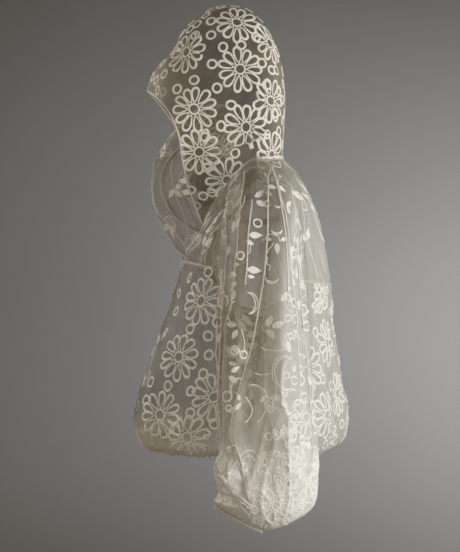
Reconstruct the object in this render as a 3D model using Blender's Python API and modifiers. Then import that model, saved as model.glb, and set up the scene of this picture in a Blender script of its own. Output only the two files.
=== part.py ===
"""A cropped, hooded jacket of sheer embroidered organza, in the form it has when worn.

The hood is up, the left sleeve hangs and the right sleeve is raised with the elbow bent. All lengths are
metres. +Z is up, -Y is the front, +X is the wearer's left. The origin is the middle of the shoulder line.
"""

from math import copysign, cos, hypot, pi, radians, sin

import bmesh
import bpy
from mathutils import Vector

CLOTH = 0.0012  # organza with its corded embroidery
BAND = 0.0015  # folded casings at the hem and the cuffs
SEAM = 0.0003  # gap between two sewn pieces
HALF_FRONT = 10  # columns from the centre front to a side seam
HALF_BACK = 10  # columns from a side seam to the centre back
AROUND_SLEEVE = 32
CLOSURE = 0.0003  # each front edge ends this far from the centre line
SHOULDER_LEVEL = 2.0  # level of the top of the armhole, counted in rows of BODY
UNDERARM_LEVEL = 5.0
YOKE_TURN = 10  # armhole steps from the shoulder to the yoke seam
ARMHOLE_REACH = radians(33)  # half of the armhole's angle, seen from above
HEM_BAND_DROP = 0.009
HEM_GAP = 0.0012
CUFF_DROP = 0.007
CUFF_GAP = 0.0014
IVORY = (0.80, 0.77, 0.66, 1.0)
NECK_SEAM = 0.0009  # the hood stands up from the body here, so its edge stays this far from the seam line
ARMHOLE_SEAM = 0.0008  # a sleeve starts this far outside the armhole, and more under the arm
UNDERARM_SEAM = 0.0005
SLEEVE_START = 0.016  # the sleeve first runs this far straight out from the armhole

# Sections of the body, from the neckline down: the centre front, the side and the centre back.
BODY_COLUMNS = ("front_y", "front_z", "side_x", "side_y", "side_z", "back_y", "back_z", "square")
BODY = {
    "neckline": (-0.086, -0.092, 0.074, -0.004, 0.004, 0.037, 0.010, 2.0),
    "neck root": (-0.093, -0.110, 0.120, -0.002, -0.010, 0.055, -0.010, 2.1),
    "shoulder": (-0.099, -0.124, 0.184, 0.000, -0.034, 0.078, -0.050, 2.2),
    "upper arm": (-0.107, -0.138, 0.200, 0.000, -0.100, 0.096, -0.105, 2.4),
    "yoke seam": (-0.115, -0.158, 0.204, 0.000, -0.165, 0.108, -0.180, 2.4),
    "underarm": (-0.124, -0.190, 0.206, 0.000, -0.228, 0.112, -0.228, 2.4),
    "waist": (-0.143, -0.240, 0.208, -0.002, -0.275, 0.117, -0.275, 2.4),
    "flare": (-0.160, -0.290, 0.211, -0.008, -0.320, 0.122, -0.320, 2.4),
    "lower flare": (-0.175, -0.340, 0.213, -0.014, -0.360, 0.127, -0.360, 2.4),
    "bubble": (-0.185, -0.388, 0.213, -0.020, -0.393, 0.129, -0.394, 2.4),
    "turn": (-0.178, -0.420, 0.208, -0.022, -0.420, 0.119, -0.420, 2.4),
    "tuck": (-0.156, -0.434, 0.190, -0.022, -0.432, 0.098, -0.432, 2.4),
    "hem": (-0.138, -0.431, 0.174, -0.022, -0.429, 0.083, -0.429, 2.4),
}

# Soft vertical folds of the lower body: angle from the left side, half width in degrees, height, and the levels
# where a fold begins and is full.
BODY_FOLD_COLUMNS = ("angle", "spread", "height", "starts", "full")
BODY_FOLDS = (
    (-68, 13, 0.0075, 5.2, 8.5),
    (-44, 11, -0.0070, 5.5, 8.0),
    (-112, 13, 0.0070, 5.6, 8.8),
    (-137, 11, -0.0065, 5.4, 8.0),
    (40, 12, 0.0080, 5.0, 8.0),
    (63, 11, -0.0070, 5.6, 8.6),
    (86, 12, 0.0085, 5.2, 9.0),
    (109, 11, -0.0065, 6.0, 8.6),
    (132, 12, 0.0080, 5.3, 8.2),
    (152, 10, -0.0040, 5.8, 8.8),
)

# The hood's opening edge, from the closure up to the peak.
OPENING_COLUMNS = ("x", "y", "z")
OPENING = (
    (0.0003, -0.086, -0.092),
    (0.034, -0.0975, -0.060),
    (0.056, -0.107, -0.033),
    (0.071, -0.1135, 0.001),
    (0.080, -0.118, 0.034),
    (0.076, -0.131, 0.068),
    (0.047, -0.152, 0.096),
    (0.0002, -0.1700, 0.1138),
)
# The two stretches of the hood's centre seam, seen from the side.
TOP_SEAM_COLUMNS = ("y", "z")
TOP_SEAM = (
    (-0.1700, 0.1138),
    (-0.1630, 0.1350),
    (-0.1490, 0.1565),
    (-0.1310, 0.1720),
    (-0.1200, 0.1955),
    (-0.0990, 0.2190),
    (-0.0620, 0.2405),
    (-0.0220, 0.2390),
    (0.0010, 0.2230),
    (0.0185, 0.2000),
)
BACK_SEAM_COLUMNS = ("y", "z")
BACK_SEAM = (
    (0.037, 0.010),
    (0.038, 0.030),
    (0.0395, 0.060),
    (0.041, 0.095),
    (0.039, 0.131),
    (0.031, 0.169),
    (0.0185, 0.200),
)
HOOD_ROWS = 14
HOOD_HALF_WIDTH = 0.119
HOOD_BROW = 0.18  # how much narrower the hood is at its peak
# Creases of the hood above the neckline: place from the front edge to the back, place up from the neckline.
HOOD_CREASE_COLUMNS = ("along", "up", "reach_along", "reach_up", "height")
HOOD_CREASES = (
    (0.78, 0.13, 0.10, 0.06, 0.0050),
    (0.55, 0.20, 0.12, 0.05, -0.0042),
    (0.42, 0.12, 0.10, 0.05, 0.0040),
    (0.22, 0.32, 0.08, 0.10, -0.0035),
    (0.66, 0.36, 0.07, 0.12, 0.0032),
)

# Sections of a sleeve, out from the armhole in the sleeve's own plane: the line that starts at the shoulder, the line
# that starts under the arm, how far the cloth stands to the front and to the back, and a shift to the front.
SLEEVE_COLUMNS = ("top_out", "top_z", "under_out", "under_z", "front", "back", "forward", "plane", "tilt")
LEFT_SLEEVE = {
    "cap": (0.036, -0.022, 0.034, -0.236, 0.056, 0.055, 0.000, 0, 0.000),
    "upper arm": (0.083, -0.060, 0.036, -0.252, 0.058, 0.053, 0.000, 0, 0.000),
    "above elbow": (0.110, -0.125, 0.037, -0.270, 0.060, 0.055, 0.000, 0, 0.000),
    "elbow": (0.127, -0.200, 0.0375, -0.297, 0.0615, 0.059, 0.000, 0, 0.000),
    "forearm": (0.138, -0.275, 0.038, -0.332, 0.0625, 0.0635, 0.000, 0, 0.000),
    "low forearm": (0.145, -0.345, 0.0385, -0.372, 0.061, 0.0675, 0.000, 0, 0.000),
    "blouse": (0.148, -0.405, 0.039, -0.415, 0.060, 0.0705, 0.000, 0, 0.000),
    "fall": (0.146, -0.450, 0.041, -0.450, 0.061, 0.0705, 0.000, 0, 0.002),
    "turn": (0.138, -0.476, 0.046, -0.476, 0.0620, 0.064, 0.000, 0, 0.008),
    "gather": (0.122, -0.4905, 0.059, -0.4905, 0.0615, 0.0300, 0.000, 0, 0.0125),
    "wrist": (0.112, -0.4995, 0.066, -0.4995, 0.0600, 0.0010, 0.000, 0, 0.016),
}
RIGHT_SLEEVE = {
    "cap": (0.030, -0.034, 0.038, -0.230, 0.058, 0.058, 0.000, 6, 0.000),
    "upper arm": (0.058, -0.040, 0.086, -0.204, 0.056, 0.054, 0.000, 22, 0.000),
    "above elbow": (0.090, -0.040, 0.137, -0.160, 0.054, 0.050, 0.002, 36, 0.000),
    "elbow": (0.114, -0.030, 0.184, -0.108, 0.052, 0.049, 0.004, 44, 0.000),
    "bend": (0.124, -0.014, 0.216, -0.040, 0.050, 0.048, 0.006, 47, 0.000),
    "forearm": (0.116, 0.003, 0.203, 0.030, 0.048, 0.046, 0.012, 46, 0.000),
    "low forearm": (0.094, 0.013, 0.158, 0.071, 0.046, 0.044, 0.020, 45, 0.000),
    "blouse": (0.064, 0.022, 0.108, 0.104, 0.045, 0.043, 0.028, 45, 0.000),
    "turn": (0.042, 0.036, 0.070, 0.118, 0.042, 0.040, 0.033, 45, 0.000),
    "gather": (0.030, 0.054, 0.049, 0.115, 0.033, 0.031, 0.036, 45, 0.000),
    "wrist": (0.024, 0.060, 0.042, 0.112, 0.028, 0.027, 0.038, 45, 0.000),
}
# Long folds of a sleeve: angle round the sleeve (0 on the shoulder line, 90 to the front) at the top and at the
# bottom, half width in degrees, height, and where along the sleeve the fold begins and ends.
SLEEVE_FOLD_COLUMNS = ("top", "bottom", "spread", "height", "starts", "ends")
SLEEVE_FOLDS = (
    (12, 68, 13, 0.0085, 0.02, 0.94),
    (-16, -36, 13, 0.0075, 0.02, 0.78),
    (44, 106, 13, -0.0070, 0.05, 0.84),
    (-54, -68, 14, -0.0060, 0.05, 0.88),
    (-4, 18, 12, -0.0065, 0.05, 0.74),
    (-94, -100, 14, 0.0060, 0.10, 0.92),
    (120, 128, 14, 0.0050, 0.15, 0.92),
)


def between(rows, column, place):
    """The value of a column at a place counted in rows, on a smooth curve through the rows."""
    last = len(rows) - 1
    place = min(max(place, 0.0), float(last))
    index = min(int(place), last - 1)
    step = place - index
    here, there = rows[index][column], rows[index + 1][column]
    before = rows[index - 1][column] if index else 2 * here - there
    after = rows[index + 2][column] if index + 2 <= last else 2 * there - here
    rise = (there - before) / 2
    fall = (after - here) / 2
    drop = there - here
    return here + step * (rise + step * (3 * drop - 2 * rise - fall + step * (rise + fall - 2 * drop)))


def ease(value):
    value = min(max(value, 0.0), 1.0)
    return value * value * (3 - 2 * value)


def hump(distance, spread):
    """1 on a fold's crest, falling softly to 0 at twice its spread."""
    reach = abs(distance) / (2 * spread)
    return (1 - reach * reach) ** 2 if reach < 1 else 0.0


def turn_between(angle, other):
    return (angle - other + 180) % 360 - 180


BODY_ROWS = list(BODY.values())
BODY_AT = {name: index for index, name in enumerate(BODY_COLUMNS)}
HEM_LEVEL = len(BODY_ROWS) - 1.0


def body_fold(angle, level):
    degrees = angle * 180 / pi
    total = 0.0
    for fold_angle, spread, height, starts, full in BODY_FOLDS:
        grown = ease((level - starts) / (full - starts))
        total += height * grown * hump(turn_between(degrees, fold_angle), spread)
    return total * (1 - 0.6 * ease((level - 9.5) / 2))


def body_point(angle, level):
    """A point of the body cloth. Angle 0 is the left side, -pi/2 the centre front and pi/2 the centre back."""
    row = {name: between(BODY_ROWS, column, level) for name, column in BODY_AT.items()}
    power = 2 / row["square"]
    across = copysign(abs(cos(angle)) ** power, cos(angle))
    along = abs(sin(angle)) ** power
    face = "back" if sin(angle) > 0 else "front"
    slope = along ** (1.5 if level < SHOULDER_LEVEL else 1.3)
    x = row["side_x"] * across
    y = row["side_y"] + (row[face + "_y"] - row["side_y"]) * along
    z = row["side_z"] + (row[face + "_z"] - row["side_z"]) * slope
    out = Vector((x / row["side_x"], (y - row["side_y"]) / abs(row[face + "_y"] - row["side_y"]), 0)).normalized()
    return Vector((x, y, z)) + out * body_fold(angle, level)


def armhole_level(step):
    """The body level at a step round the armhole: 0 on the shoulder, half of AROUND_SLEEVE under the arm."""
    middle = (SHOULDER_LEVEL + UNDERARM_LEVEL) / 2
    return middle - (UNDERARM_LEVEL - SHOULDER_LEVEL) / 2 * cos(2 * pi * step / AROUND_SLEEVE)


def armhole_reach(level):
    """The angle from the side seam's line to the armhole's edge at a body level."""
    middle = (SHOULDER_LEVEL + UNDERARM_LEVEL) / 2
    share = (level - middle) / ((UNDERARM_LEVEL - SHOULDER_LEVEL) / 2)
    return ARMHOLE_REACH * max(0.0, 1 - share * share) ** 0.5


HALF_TURN = AROUND_SLEEVE // 2
YOKE_LEVELS = [0.0, 0.5, 1.0, 1.5] + [armhole_level(step) for step in range(YOKE_TURN + 1)]
LOWER_LEVELS = [armhole_level(step) for step in range(YOKE_TURN, HALF_TURN + 1)]
LOWER_LEVELS += [5.7, 6.5, 7.3, 8.0, 8.6, 9.2, 9.8, 10.4, 11.0, 11.5, HEM_LEVEL]


def front_angle(level, column, side):
    """Columns run from the centre front to the side seam or the armhole. side is 1 on the wearer's left."""
    edge = -armhole_reach(level)
    angle = -pi / 2 + (pi / 2 + edge) * column / HALF_FRONT
    return angle if side > 0 else -pi - angle


def back_angle(level, column):
    start = armhole_reach(level)
    return start + (pi - 2 * start) * column / (2 * HALF_BACK)


def front_points(levels, side):
    rows = []
    for level in levels:
        row = [body_point(front_angle(level, column, side), level) for column in range(HALF_FRONT + 1)]
        row[0].x = side * CLOSURE
        rows.append(row)
    return rows


def back_points(levels):
    return [[body_point(back_angle(level, column), level) for column in range(2 * HALF_BACK + 1)] for level in levels]


def hood_crease(along, up):
    total = 0.0
    for row in HOOD_CREASES:
        crease = dict(zip(HOOD_CREASE_COLUMNS, row))
        across = (along - crease["along"]) / crease["reach_along"]
        above = (up - crease["up"] - 0.10 * (along - crease["along"])) / crease["reach_up"]
        total += crease["height"] * hump(hypot(across, above), 1.0)
    return total


def hood_point(up, along, side):
    """A point of a hood panel, up from the neckline to the top seam and along from the opening to the back seam."""
    rise = sin(up * pi / 2)
    sweep = sin(along * pi / 2)
    neck = body_point(-pi / 2 + pi * along, 0.0)
    edge = Vector([between(OPENING, column, rise * (len(OPENING) - 1)) for column in range(3)])
    back = Vector([0.0] + [between(BACK_SEAM, column, rise * (len(BACK_SEAM) - 1)) for column in range(2)])
    top = Vector([0.0] + [between(TOP_SEAM, column, sweep * (len(TOP_SEAM) - 1)) for column in range(2)])
    front_corner, back_corner = Vector(OPENING[0]), Vector((0.0,) + BACK_SEAM[0])
    peak, crown = Vector((0.0,) + TOP_SEAM[0]), Vector((0.0,) + TOP_SEAM[-1])
    point = neck * (1 - rise) + top * rise + edge * (1 - sweep) + back * sweep
    point -= front_corner * (1 - rise) * (1 - sweep) + back_corner * (1 - rise) * sweep
    point -= peak * rise * (1 - sweep) + crown * rise * sweep
    round_form = max(cos(up * pi / 2), 0.0) ** 0.62 * max(cos(along * pi / 2), 0.0) ** 0.66
    brow = 1 - HOOD_BROW * (1 - along) ** 2
    wide = HOOD_HALF_WIDTH * brow * round_form + hood_crease(along, up)
    near_neck = (1 - up) ** 5
    near_edge = (1 - along) ** 6
    wide = wide * (1 - near_neck) + neck.x * near_neck
    wide = wide * (1 - near_edge) + edge.x * near_edge
    on_seam = up >= 1 or along >= 1
    point.x = side * (SEAM / 2 if on_seam else max(wide, SEAM / 2))
    return point


def hood_points(side):
    columns = HALF_FRONT + HALF_BACK
    return [[hood_point(row / HOOD_ROWS, column / columns, side) for column in range(columns + 1)]
            for row in range(HOOD_ROWS + 1)]


def armhole_point(step, side):
    """A point of the left or right armhole, counted round from the shoulder by the front."""
    level = armhole_level(step)
    turn = armhole_reach(level) * (-1 if step % AROUND_SLEEVE < HALF_TURN else 1)
    return body_point(turn if side > 0 else pi - turn, level)


def sleeve_fold(turn, along):
    total = 0.0
    for row in SLEEVE_FOLDS:
        fold = dict(zip(SLEEVE_FOLD_COLUMNS, row))
        if not fold["starts"] < along < fold["ends"]:
            continue
        middle = fold["top"] + (fold["bottom"] - fold["top"]) * along
        share = (along - fold["starts"]) / (fold["ends"] - fold["starts"])
        grown = ease(share * 6) * ease((1 - share) * 4)
        total += fold["height"] * grown * hump(turn_between(turn, middle), fold["spread"])
    return total


def sleeve_section(rows, place, step, side):
    """A point of the sleeve's own sections, at a place counted in rows."""
    row = {name: between(rows, column, place) for column, name in enumerate(SLEEVE_COLUMNS)}
    angle = 2 * pi * step / AROUND_SLEEVE
    top = Vector((row["top_out"], row["top_z"]))
    under = Vector((row["under_out"], row["under_z"]))
    middle = (top + under) / 2
    share = cos(angle)
    flat = middle + (top - under) / 2 * copysign(abs(share) ** 0.92, share)
    lean = sin(angle)
    reach = row["front"] if lean > 0 else row["back"]
    forward = row["forward"] + reach * copysign(abs(lean) ** 0.92, lean)
    along = place / (len(rows) - 1)
    plane = radians(row["plane"])
    out_way = Vector((side * cos(plane), -sin(plane), 0))
    front_way = Vector((-side * sin(plane), -cos(plane), 0))
    base = Vector((side * BODY_ROWS[2][2], 0, 0))
    point = base + out_way * flat.x + front_way * forward + Vector((0, 0, flat.y))
    spine = base + out_way * middle.x + front_way * row["forward"] + Vector((0, 0, middle.y))
    out = (point - spine).normalized()
    point += out * sleeve_fold(angle * 180 / pi, along)
    point.z += row["tilt"] * lean
    return point


def sleeve_points(rows, side):
    """Rings of the sleeve, from the armhole to the wrist, two to each section."""
    rows = list(rows.values())
    rings = []
    for half in range(2 * len(rows) + 1):
        place = half / 2 - 1
        ring = []
        for step in range(AROUND_SLEEVE):
            point = sleeve_section(rows, max(place, 0.0), step, side)
            if place < 0:
                start = armhole_point(step, side) + Vector((side * SLEEVE_START * (place + 1), 0, 0))
                point = start.lerp(point, ease(place + 1) ** 1.5)
            ring.append(point)
        rings.append(ring)
    return rings


def pull_in(rows, edges, distance=SEAM):
    """Moves the named edges of a grid in by a distance along the cloth."""
    last = len(rows) - 1
    pairs = {"first": (0, 1), "last": (last, last - 1)}
    for edge in edges:
        if edge in pairs:
            outer, inner = pairs[edge]
            for point, towards in zip(rows[outer], rows[inner]):
                point += (towards - point).normalized() * distance
            continue
        outer, inner = (0, 1) if edge == "start" else (-1, -2)
        for row in rows:
            row[outer] += (row[inner] - row[outer]).normalized() * distance


def clear_armhole(rings):
    """Starts a sleeve just outside the body's wall, which it leaves at a right angle under the arm."""
    for step, (point, towards) in enumerate(zip(rings[0], rings[1])):
        under = (1 - cos(2 * pi * step / AROUND_SLEEVE)) / 2
        point += (towards - point).normalized() * (ARMHOLE_SEAM + UNDERARM_SEAM * under)


def material_of(name, color, roughness, metallic=0.0):
    material = bpy.data.materials.new(name)
    material.use_nodes = True
    shader = material.node_tree.nodes["Principled BSDF"]
    shader.inputs["Base Color"].default_value = color
    shader.inputs["Roughness"].default_value = roughness
    shader.inputs["Metallic"].default_value = metallic
    return material


def sheet_mesh(name, rows, closed):
    """An open sheet through a grid of points, turned so that its normals point away from the inside."""
    mesh = bmesh.new()
    grid = [[mesh.verts.new(point) for point in row] for row in rows]
    columns = len(rows[0])
    for lower, upper in zip(grid, grid[1:]):
        for column in range(columns if closed else columns - 1):
            after = (column + 1) % columns
            mesh.faces.new((lower[column], lower[after], upper[after], upper[column]))
    data = bpy.data.meshes.new(name)
    mesh.to_mesh(data)
    mesh.free()
    return data


def cloth_piece(collection, name, rows, thickness=CLOTH, closed=False, roughness=0.7):
    """A sewn piece: a sheet through its points, thickened to both sides."""
    data = sheet_mesh(name, rows, closed)
    piece = bpy.data.objects.new(name, data)
    collection.objects.link(piece)
    data.materials.append(material_of(name, IVORY, roughness))
    wall = piece.modifiers.new("wall", "SOLIDIFY")
    wall.thickness = thickness
    wall.offset = 0.0
    data.shade_smooth()
    return piece


def make_body(collection):
    for side, name in ((1, "left"), (-1, "right")):
        yoke = front_points(YOKE_LEVELS, side)
        pull_in(yoke, ("first", "last", "end"))
        cloth_piece(collection, "front_yoke_" + name, yoke)
        lower = front_points(LOWER_LEVELS, side)
        pull_in(lower, ("first", "last", "end"))
        cloth_piece(collection, "front_" + name, lower)
    yoke = back_points(YOKE_LEVELS)
    pull_in(yoke, ("first", "last", "start", "end"))
    cloth_piece(collection, "back_yoke", yoke)
    lower = back_points(LOWER_LEVELS)
    pull_in(lower, ("first", "last", "start", "end"))
    cloth_piece(collection, "back", lower)


def make_hood(collection):
    for side, name in ((1, "left"), (-1, "right")):
        panel = hood_points(side)
        pull_in(panel, ("first",), NECK_SEAM)
        cloth_piece(collection, "hood_" + name, panel)


def make_sleeves(collection):
    for name, rows, side in (("left", LEFT_SLEEVE, 1), ("right", RIGHT_SLEEVE, -1)):
        rings = sleeve_points(rows, side)
        clear_armhole(rings)
        pull_in(rings, ("last",))
        cloth_piece(collection, "sleeve_" + name, rings, closed=True)
        end = rings[-1]
        middle = sum(end, Vector()) / len(end)
        away = (end[0] - middle).cross(end[AROUND_SLEEVE // 4] - middle).normalized() * side
        cuff = [[point + away * drop for point in end] for drop in (CUFF_GAP, CUFF_GAP + CUFF_DROP)]
        cloth_piece(collection, "cuff_" + name, cuff, thickness=BAND, closed=True)


def make_hem(collection):
    left = front_points((HEM_LEVEL,), 1)[0]
    right = front_points((HEM_LEVEL,), -1)[0]
    edge = left + back_points((HEM_LEVEL,))[0][1:] + right[::-1][1:]
    band = [[point - Vector((0, 0, drop)) for point in edge] for drop in (HEM_GAP, HEM_GAP + HEM_BAND_DROP)]
    cloth_piece(collection, "hem_band", band, thickness=BAND)


def main():
    for old in list(bpy.data.objects):
        bpy.data.objects.remove(old, do_unlink=True)
    collection = bpy.data.collections.new("embroidered organza hooded jacket")
    bpy.context.scene.collection.children.link(collection)
    make_body(collection)
    make_hood(collection)
    make_sleeves(collection)
    make_hem(collection)


main()
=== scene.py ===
import random
from math import copysign, cos, degrees, hypot, pi, radians, sin

import bpy
import numpy as np
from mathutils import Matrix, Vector, noise
from mathutils.bvhtree import BVHTree


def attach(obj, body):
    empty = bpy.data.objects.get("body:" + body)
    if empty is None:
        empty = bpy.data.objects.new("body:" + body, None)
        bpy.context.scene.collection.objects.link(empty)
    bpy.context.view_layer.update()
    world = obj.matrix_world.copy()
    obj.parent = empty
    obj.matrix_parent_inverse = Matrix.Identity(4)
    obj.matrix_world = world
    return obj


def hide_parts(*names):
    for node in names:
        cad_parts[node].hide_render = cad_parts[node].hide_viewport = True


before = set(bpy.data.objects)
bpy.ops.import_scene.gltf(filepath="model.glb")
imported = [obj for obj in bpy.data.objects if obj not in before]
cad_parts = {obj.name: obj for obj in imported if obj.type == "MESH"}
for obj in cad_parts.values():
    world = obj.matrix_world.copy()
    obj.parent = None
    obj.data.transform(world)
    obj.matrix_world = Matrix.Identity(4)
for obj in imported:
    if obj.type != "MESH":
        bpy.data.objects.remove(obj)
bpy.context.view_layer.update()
scene = bpy.context.scene
scene.cycles.transparent_max_bounces = 64  # sheer cloth lies in many layers
scene.view_settings.view_transform = "Standard"
print("frame loaded")

# the photograph's camera: level, straight at the jacket's left side
photo = {"distance": 2.2, "y": -0.043, "z": -0.171, "pxPerMetre": 650.0, "width": 460, "height": 552,
         "sleeveScale": 741.0}  # pixels to a metre on the near sleeve


def between(rows, column, place):
    # a smooth curve through the rows, with the place counted in rows
    last = len(rows) - 1
    place = min(max(place, 0.0), float(last))
    index = min(int(place), last - 1)
    step = place - index
    here, there = rows[index][column], rows[index + 1][column]
    before = rows[index - 1][column] if index else 2 * here - there
    after = rows[index + 2][column] if index + 2 <= last else 2 * there - here
    rise = (there - before) / 2
    fall = (after - here) / 2
    drop = there - here
    return here + step * (rise + step * (3 * drop - 2 * rise - fall + step * (rise + fall - 2 * drop)))


def ease(value):
    value = min(max(value, 0.0), 1.0)
    return value * value * (3 - 2 * value)


def hump(distance, spread):
    reach = abs(distance) / (2 * spread)
    return (1 - reach * reach) ** 2 if reach < 1 else 0.0


def turnBetween(angle, other):
    return (angle - other + 180) % 360 - 180


def ridges(point, size, sharpness):
    # crumpled cloth: thin ridges between soft hollows, about size metres apart
    value = noise.noise(Vector((point[0] / size, point[1] / size, point[2] / size)))
    return (1 - min(abs(value) * 2, 1)) ** sharpness


# The body, from the neckline down.
body = {
    "columns": ("frontY", "frontZ", "sideX", "sideY", "sideZ", "backY", "backZ", "square"),
    "rows": (
        (-0.086, -0.092, 0.074, -0.004, 0.004, 0.037, 0.010, 2.0),  # neckline
        (-0.093, -0.110, 0.120, -0.002, -0.010, 0.055, -0.010, 2.1),
        (-0.099, -0.124, 0.184, 0.000, -0.034, 0.078, -0.050, 2.2),  # shoulder
        (-0.107, -0.130, 0.200, 0.000, -0.100, 0.096, -0.105, 2.4),
        (-0.115, -0.146, 0.204, 0.000, -0.167, 0.108, -0.180, 2.4),  # yoke seam
        (-0.124, -0.184, 0.206, 0.000, -0.228, 0.112, -0.228, 2.4),  # underarm
        (-0.143, -0.240, 0.208, -0.002, -0.275, 0.117, -0.275, 2.4),
        (-0.160, -0.290, 0.211, -0.008, -0.320, 0.122, -0.320, 2.4),
        (-0.175, -0.340, 0.213, -0.014, -0.360, 0.127, -0.360, 2.4),
        (-0.185, -0.386, 0.213, -0.020, -0.388, 0.129, -0.394, 2.4),  # the hem's bubble
        (-0.178, -0.416, 0.208, -0.022, -0.413, 0.119, -0.420, 2.4),
        (-0.156, -0.429, 0.190, -0.022, -0.423, 0.098, -0.432, 2.4),
        (-0.138, -0.427, 0.174, -0.022, -0.420, 0.083, -0.429, 2.4),  # hem
    ),
    # angle from the left side, half width in degrees, height, level where it begins, level where it is full
    "folds": (
        (-68, 13, 0.0075, 5.2, 8.5),
        (-44, 11, -0.0070, 5.5, 8.0),
        (-112, 13, 0.0070, 5.6, 8.8),
        (-137, 11, -0.0065, 5.4, 8.0),
        (40, 12, 0.0080, 5.0, 8.0),
        (63, 11, -0.0070, 5.6, 8.6),
        (86, 12, 0.0085, 5.2, 9.0),
        (109, 11, -0.0065, 6.0, 8.6),
        (132, 12, 0.0080, 5.3, 8.2),
        (152, 10, -0.0040, 5.8, 8.8),
    ),
    "foldsEnd": (9.5, 2, 0.6),  # the level where the folds start to fade, over how many levels and how much
    "slope": (1.5, 1.3),  # how late the cloth drops to the front and back, above the shoulder and below
    "shoulder": 2.0,
    "underarm": 5.0,
    "yokeTurn": 10 / 32,
    "armholeReach": radians(33),
    "gathers": 92,  # round the hem
    "gatherHeight": 0.0021,
    "gathersStart": (9.6, 1.8, 2.4),  # the level where they start, how far the longest run up, levels to full
    "crumple": 0.0026,
}
hemLevel = len(body["rows"]) - 1.0


def bodyPoint(angle, level):
    row = {name: between(body["rows"], column, level) for column, name in enumerate(body["columns"])}
    power = 2 / row["square"]
    across = copysign(abs(cos(angle)) ** power, cos(angle))
    along = abs(sin(angle)) ** power
    face = "back" if sin(angle) > 0 else "front"
    slope = along ** body["slope"][0 if level < body["shoulder"] else 1]
    x = row["sideX"] * across
    y = row["sideY"] + (row[face + "Y"] - row["sideY"]) * along
    z = row["sideZ"] + (row[face + "Z"] - row["sideZ"]) * slope
    out = Vector((x / row["sideX"], (y - row["sideY"]) / abs(row[face + "Y"] - row["sideY"]), 0)).normalized()
    total = 0.0
    for foldAngle, spread, height, starts, full in body["folds"]:
        grown = ease((level - starts) / (full - starts))
        total += height * grown * hump(turnBetween(degrees(angle), foldAngle), spread)
    fades, levels, share = body["foldsEnd"]
    return Vector((x, y, z)) + out * total * (1 - share * ease((level - fades) / levels))


def armholeLevel(turn):
    # turn is 0 on the shoulder and 0.5 under the arm
    middle = (body["shoulder"] + body["underarm"]) / 2
    return middle - (body["underarm"] - body["shoulder"]) / 2 * cos(2 * pi * turn)


def armholeReach(level):
    middle = (body["shoulder"] + body["underarm"]) / 2
    share = (level - middle) / ((body["underarm"] - body["shoulder"]) / 2)
    return body["armholeReach"] * max(0.0, 1 - share * share) ** 0.5


def armholePoint(turn, side):
    level = armholeLevel(turn)
    reach = armholeReach(level) * (-1 if turn % 1 < 0.5 else 1)
    return bodyPoint(reach if side > 0 else pi - reach, level)


yokeLevels = [body["shoulder"] * step / 18 for step in range(18)]
yokeLevels += [armholeLevel(body["yokeTurn"] * step / 30) for step in range(31)]
lowerLevels = [armholeLevel(body["yokeTurn"] + (0.5 - body["yokeTurn"]) * step / 16) for step in range(17)]
lowerLevels += [body["underarm"] + (hemLevel - body["underarm"]) * step / 96 for step in range(1, 97)]


def frontAngle(level, across, side):
    angle = -pi / 2 + (pi / 2 - armholeReach(level)) * across
    return angle if side > 0 else -pi - angle


def backAngle(level, across):
    start = armholeReach(level)
    return start + (pi - 2 * start) * across


def bodyDetail(angle, level, point):
    # gathers that run up from the hem, and the crumple of crisp organza
    wave = angle * body["gathers"] + 5 * noise.noise(Vector((angle * 3, 0.4, 2.0)))
    long = 0.55 + 0.45 * noise.noise(Vector((angle * 9, 7.0, 1.0)))
    starts, upmost, levels = body["gathersStart"]
    rise = ease((level - (starts - upmost * long)) / levels)
    gather = sin(wave) * body["gatherHeight"] * rise
    stretched = (point.x * 1.5, point.y * 1.5, point.z * 0.55)
    slanting = (point.x + 0.3 * point.z, point.y - 0.4 * point.z, point.z * 0.8)
    crumple = ridges(stretched, 0.050, 5) + 0.6 * ridges(slanting, 0.028, 6)
    return gather + body["crumple"] * (crumple - 0.4)


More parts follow.
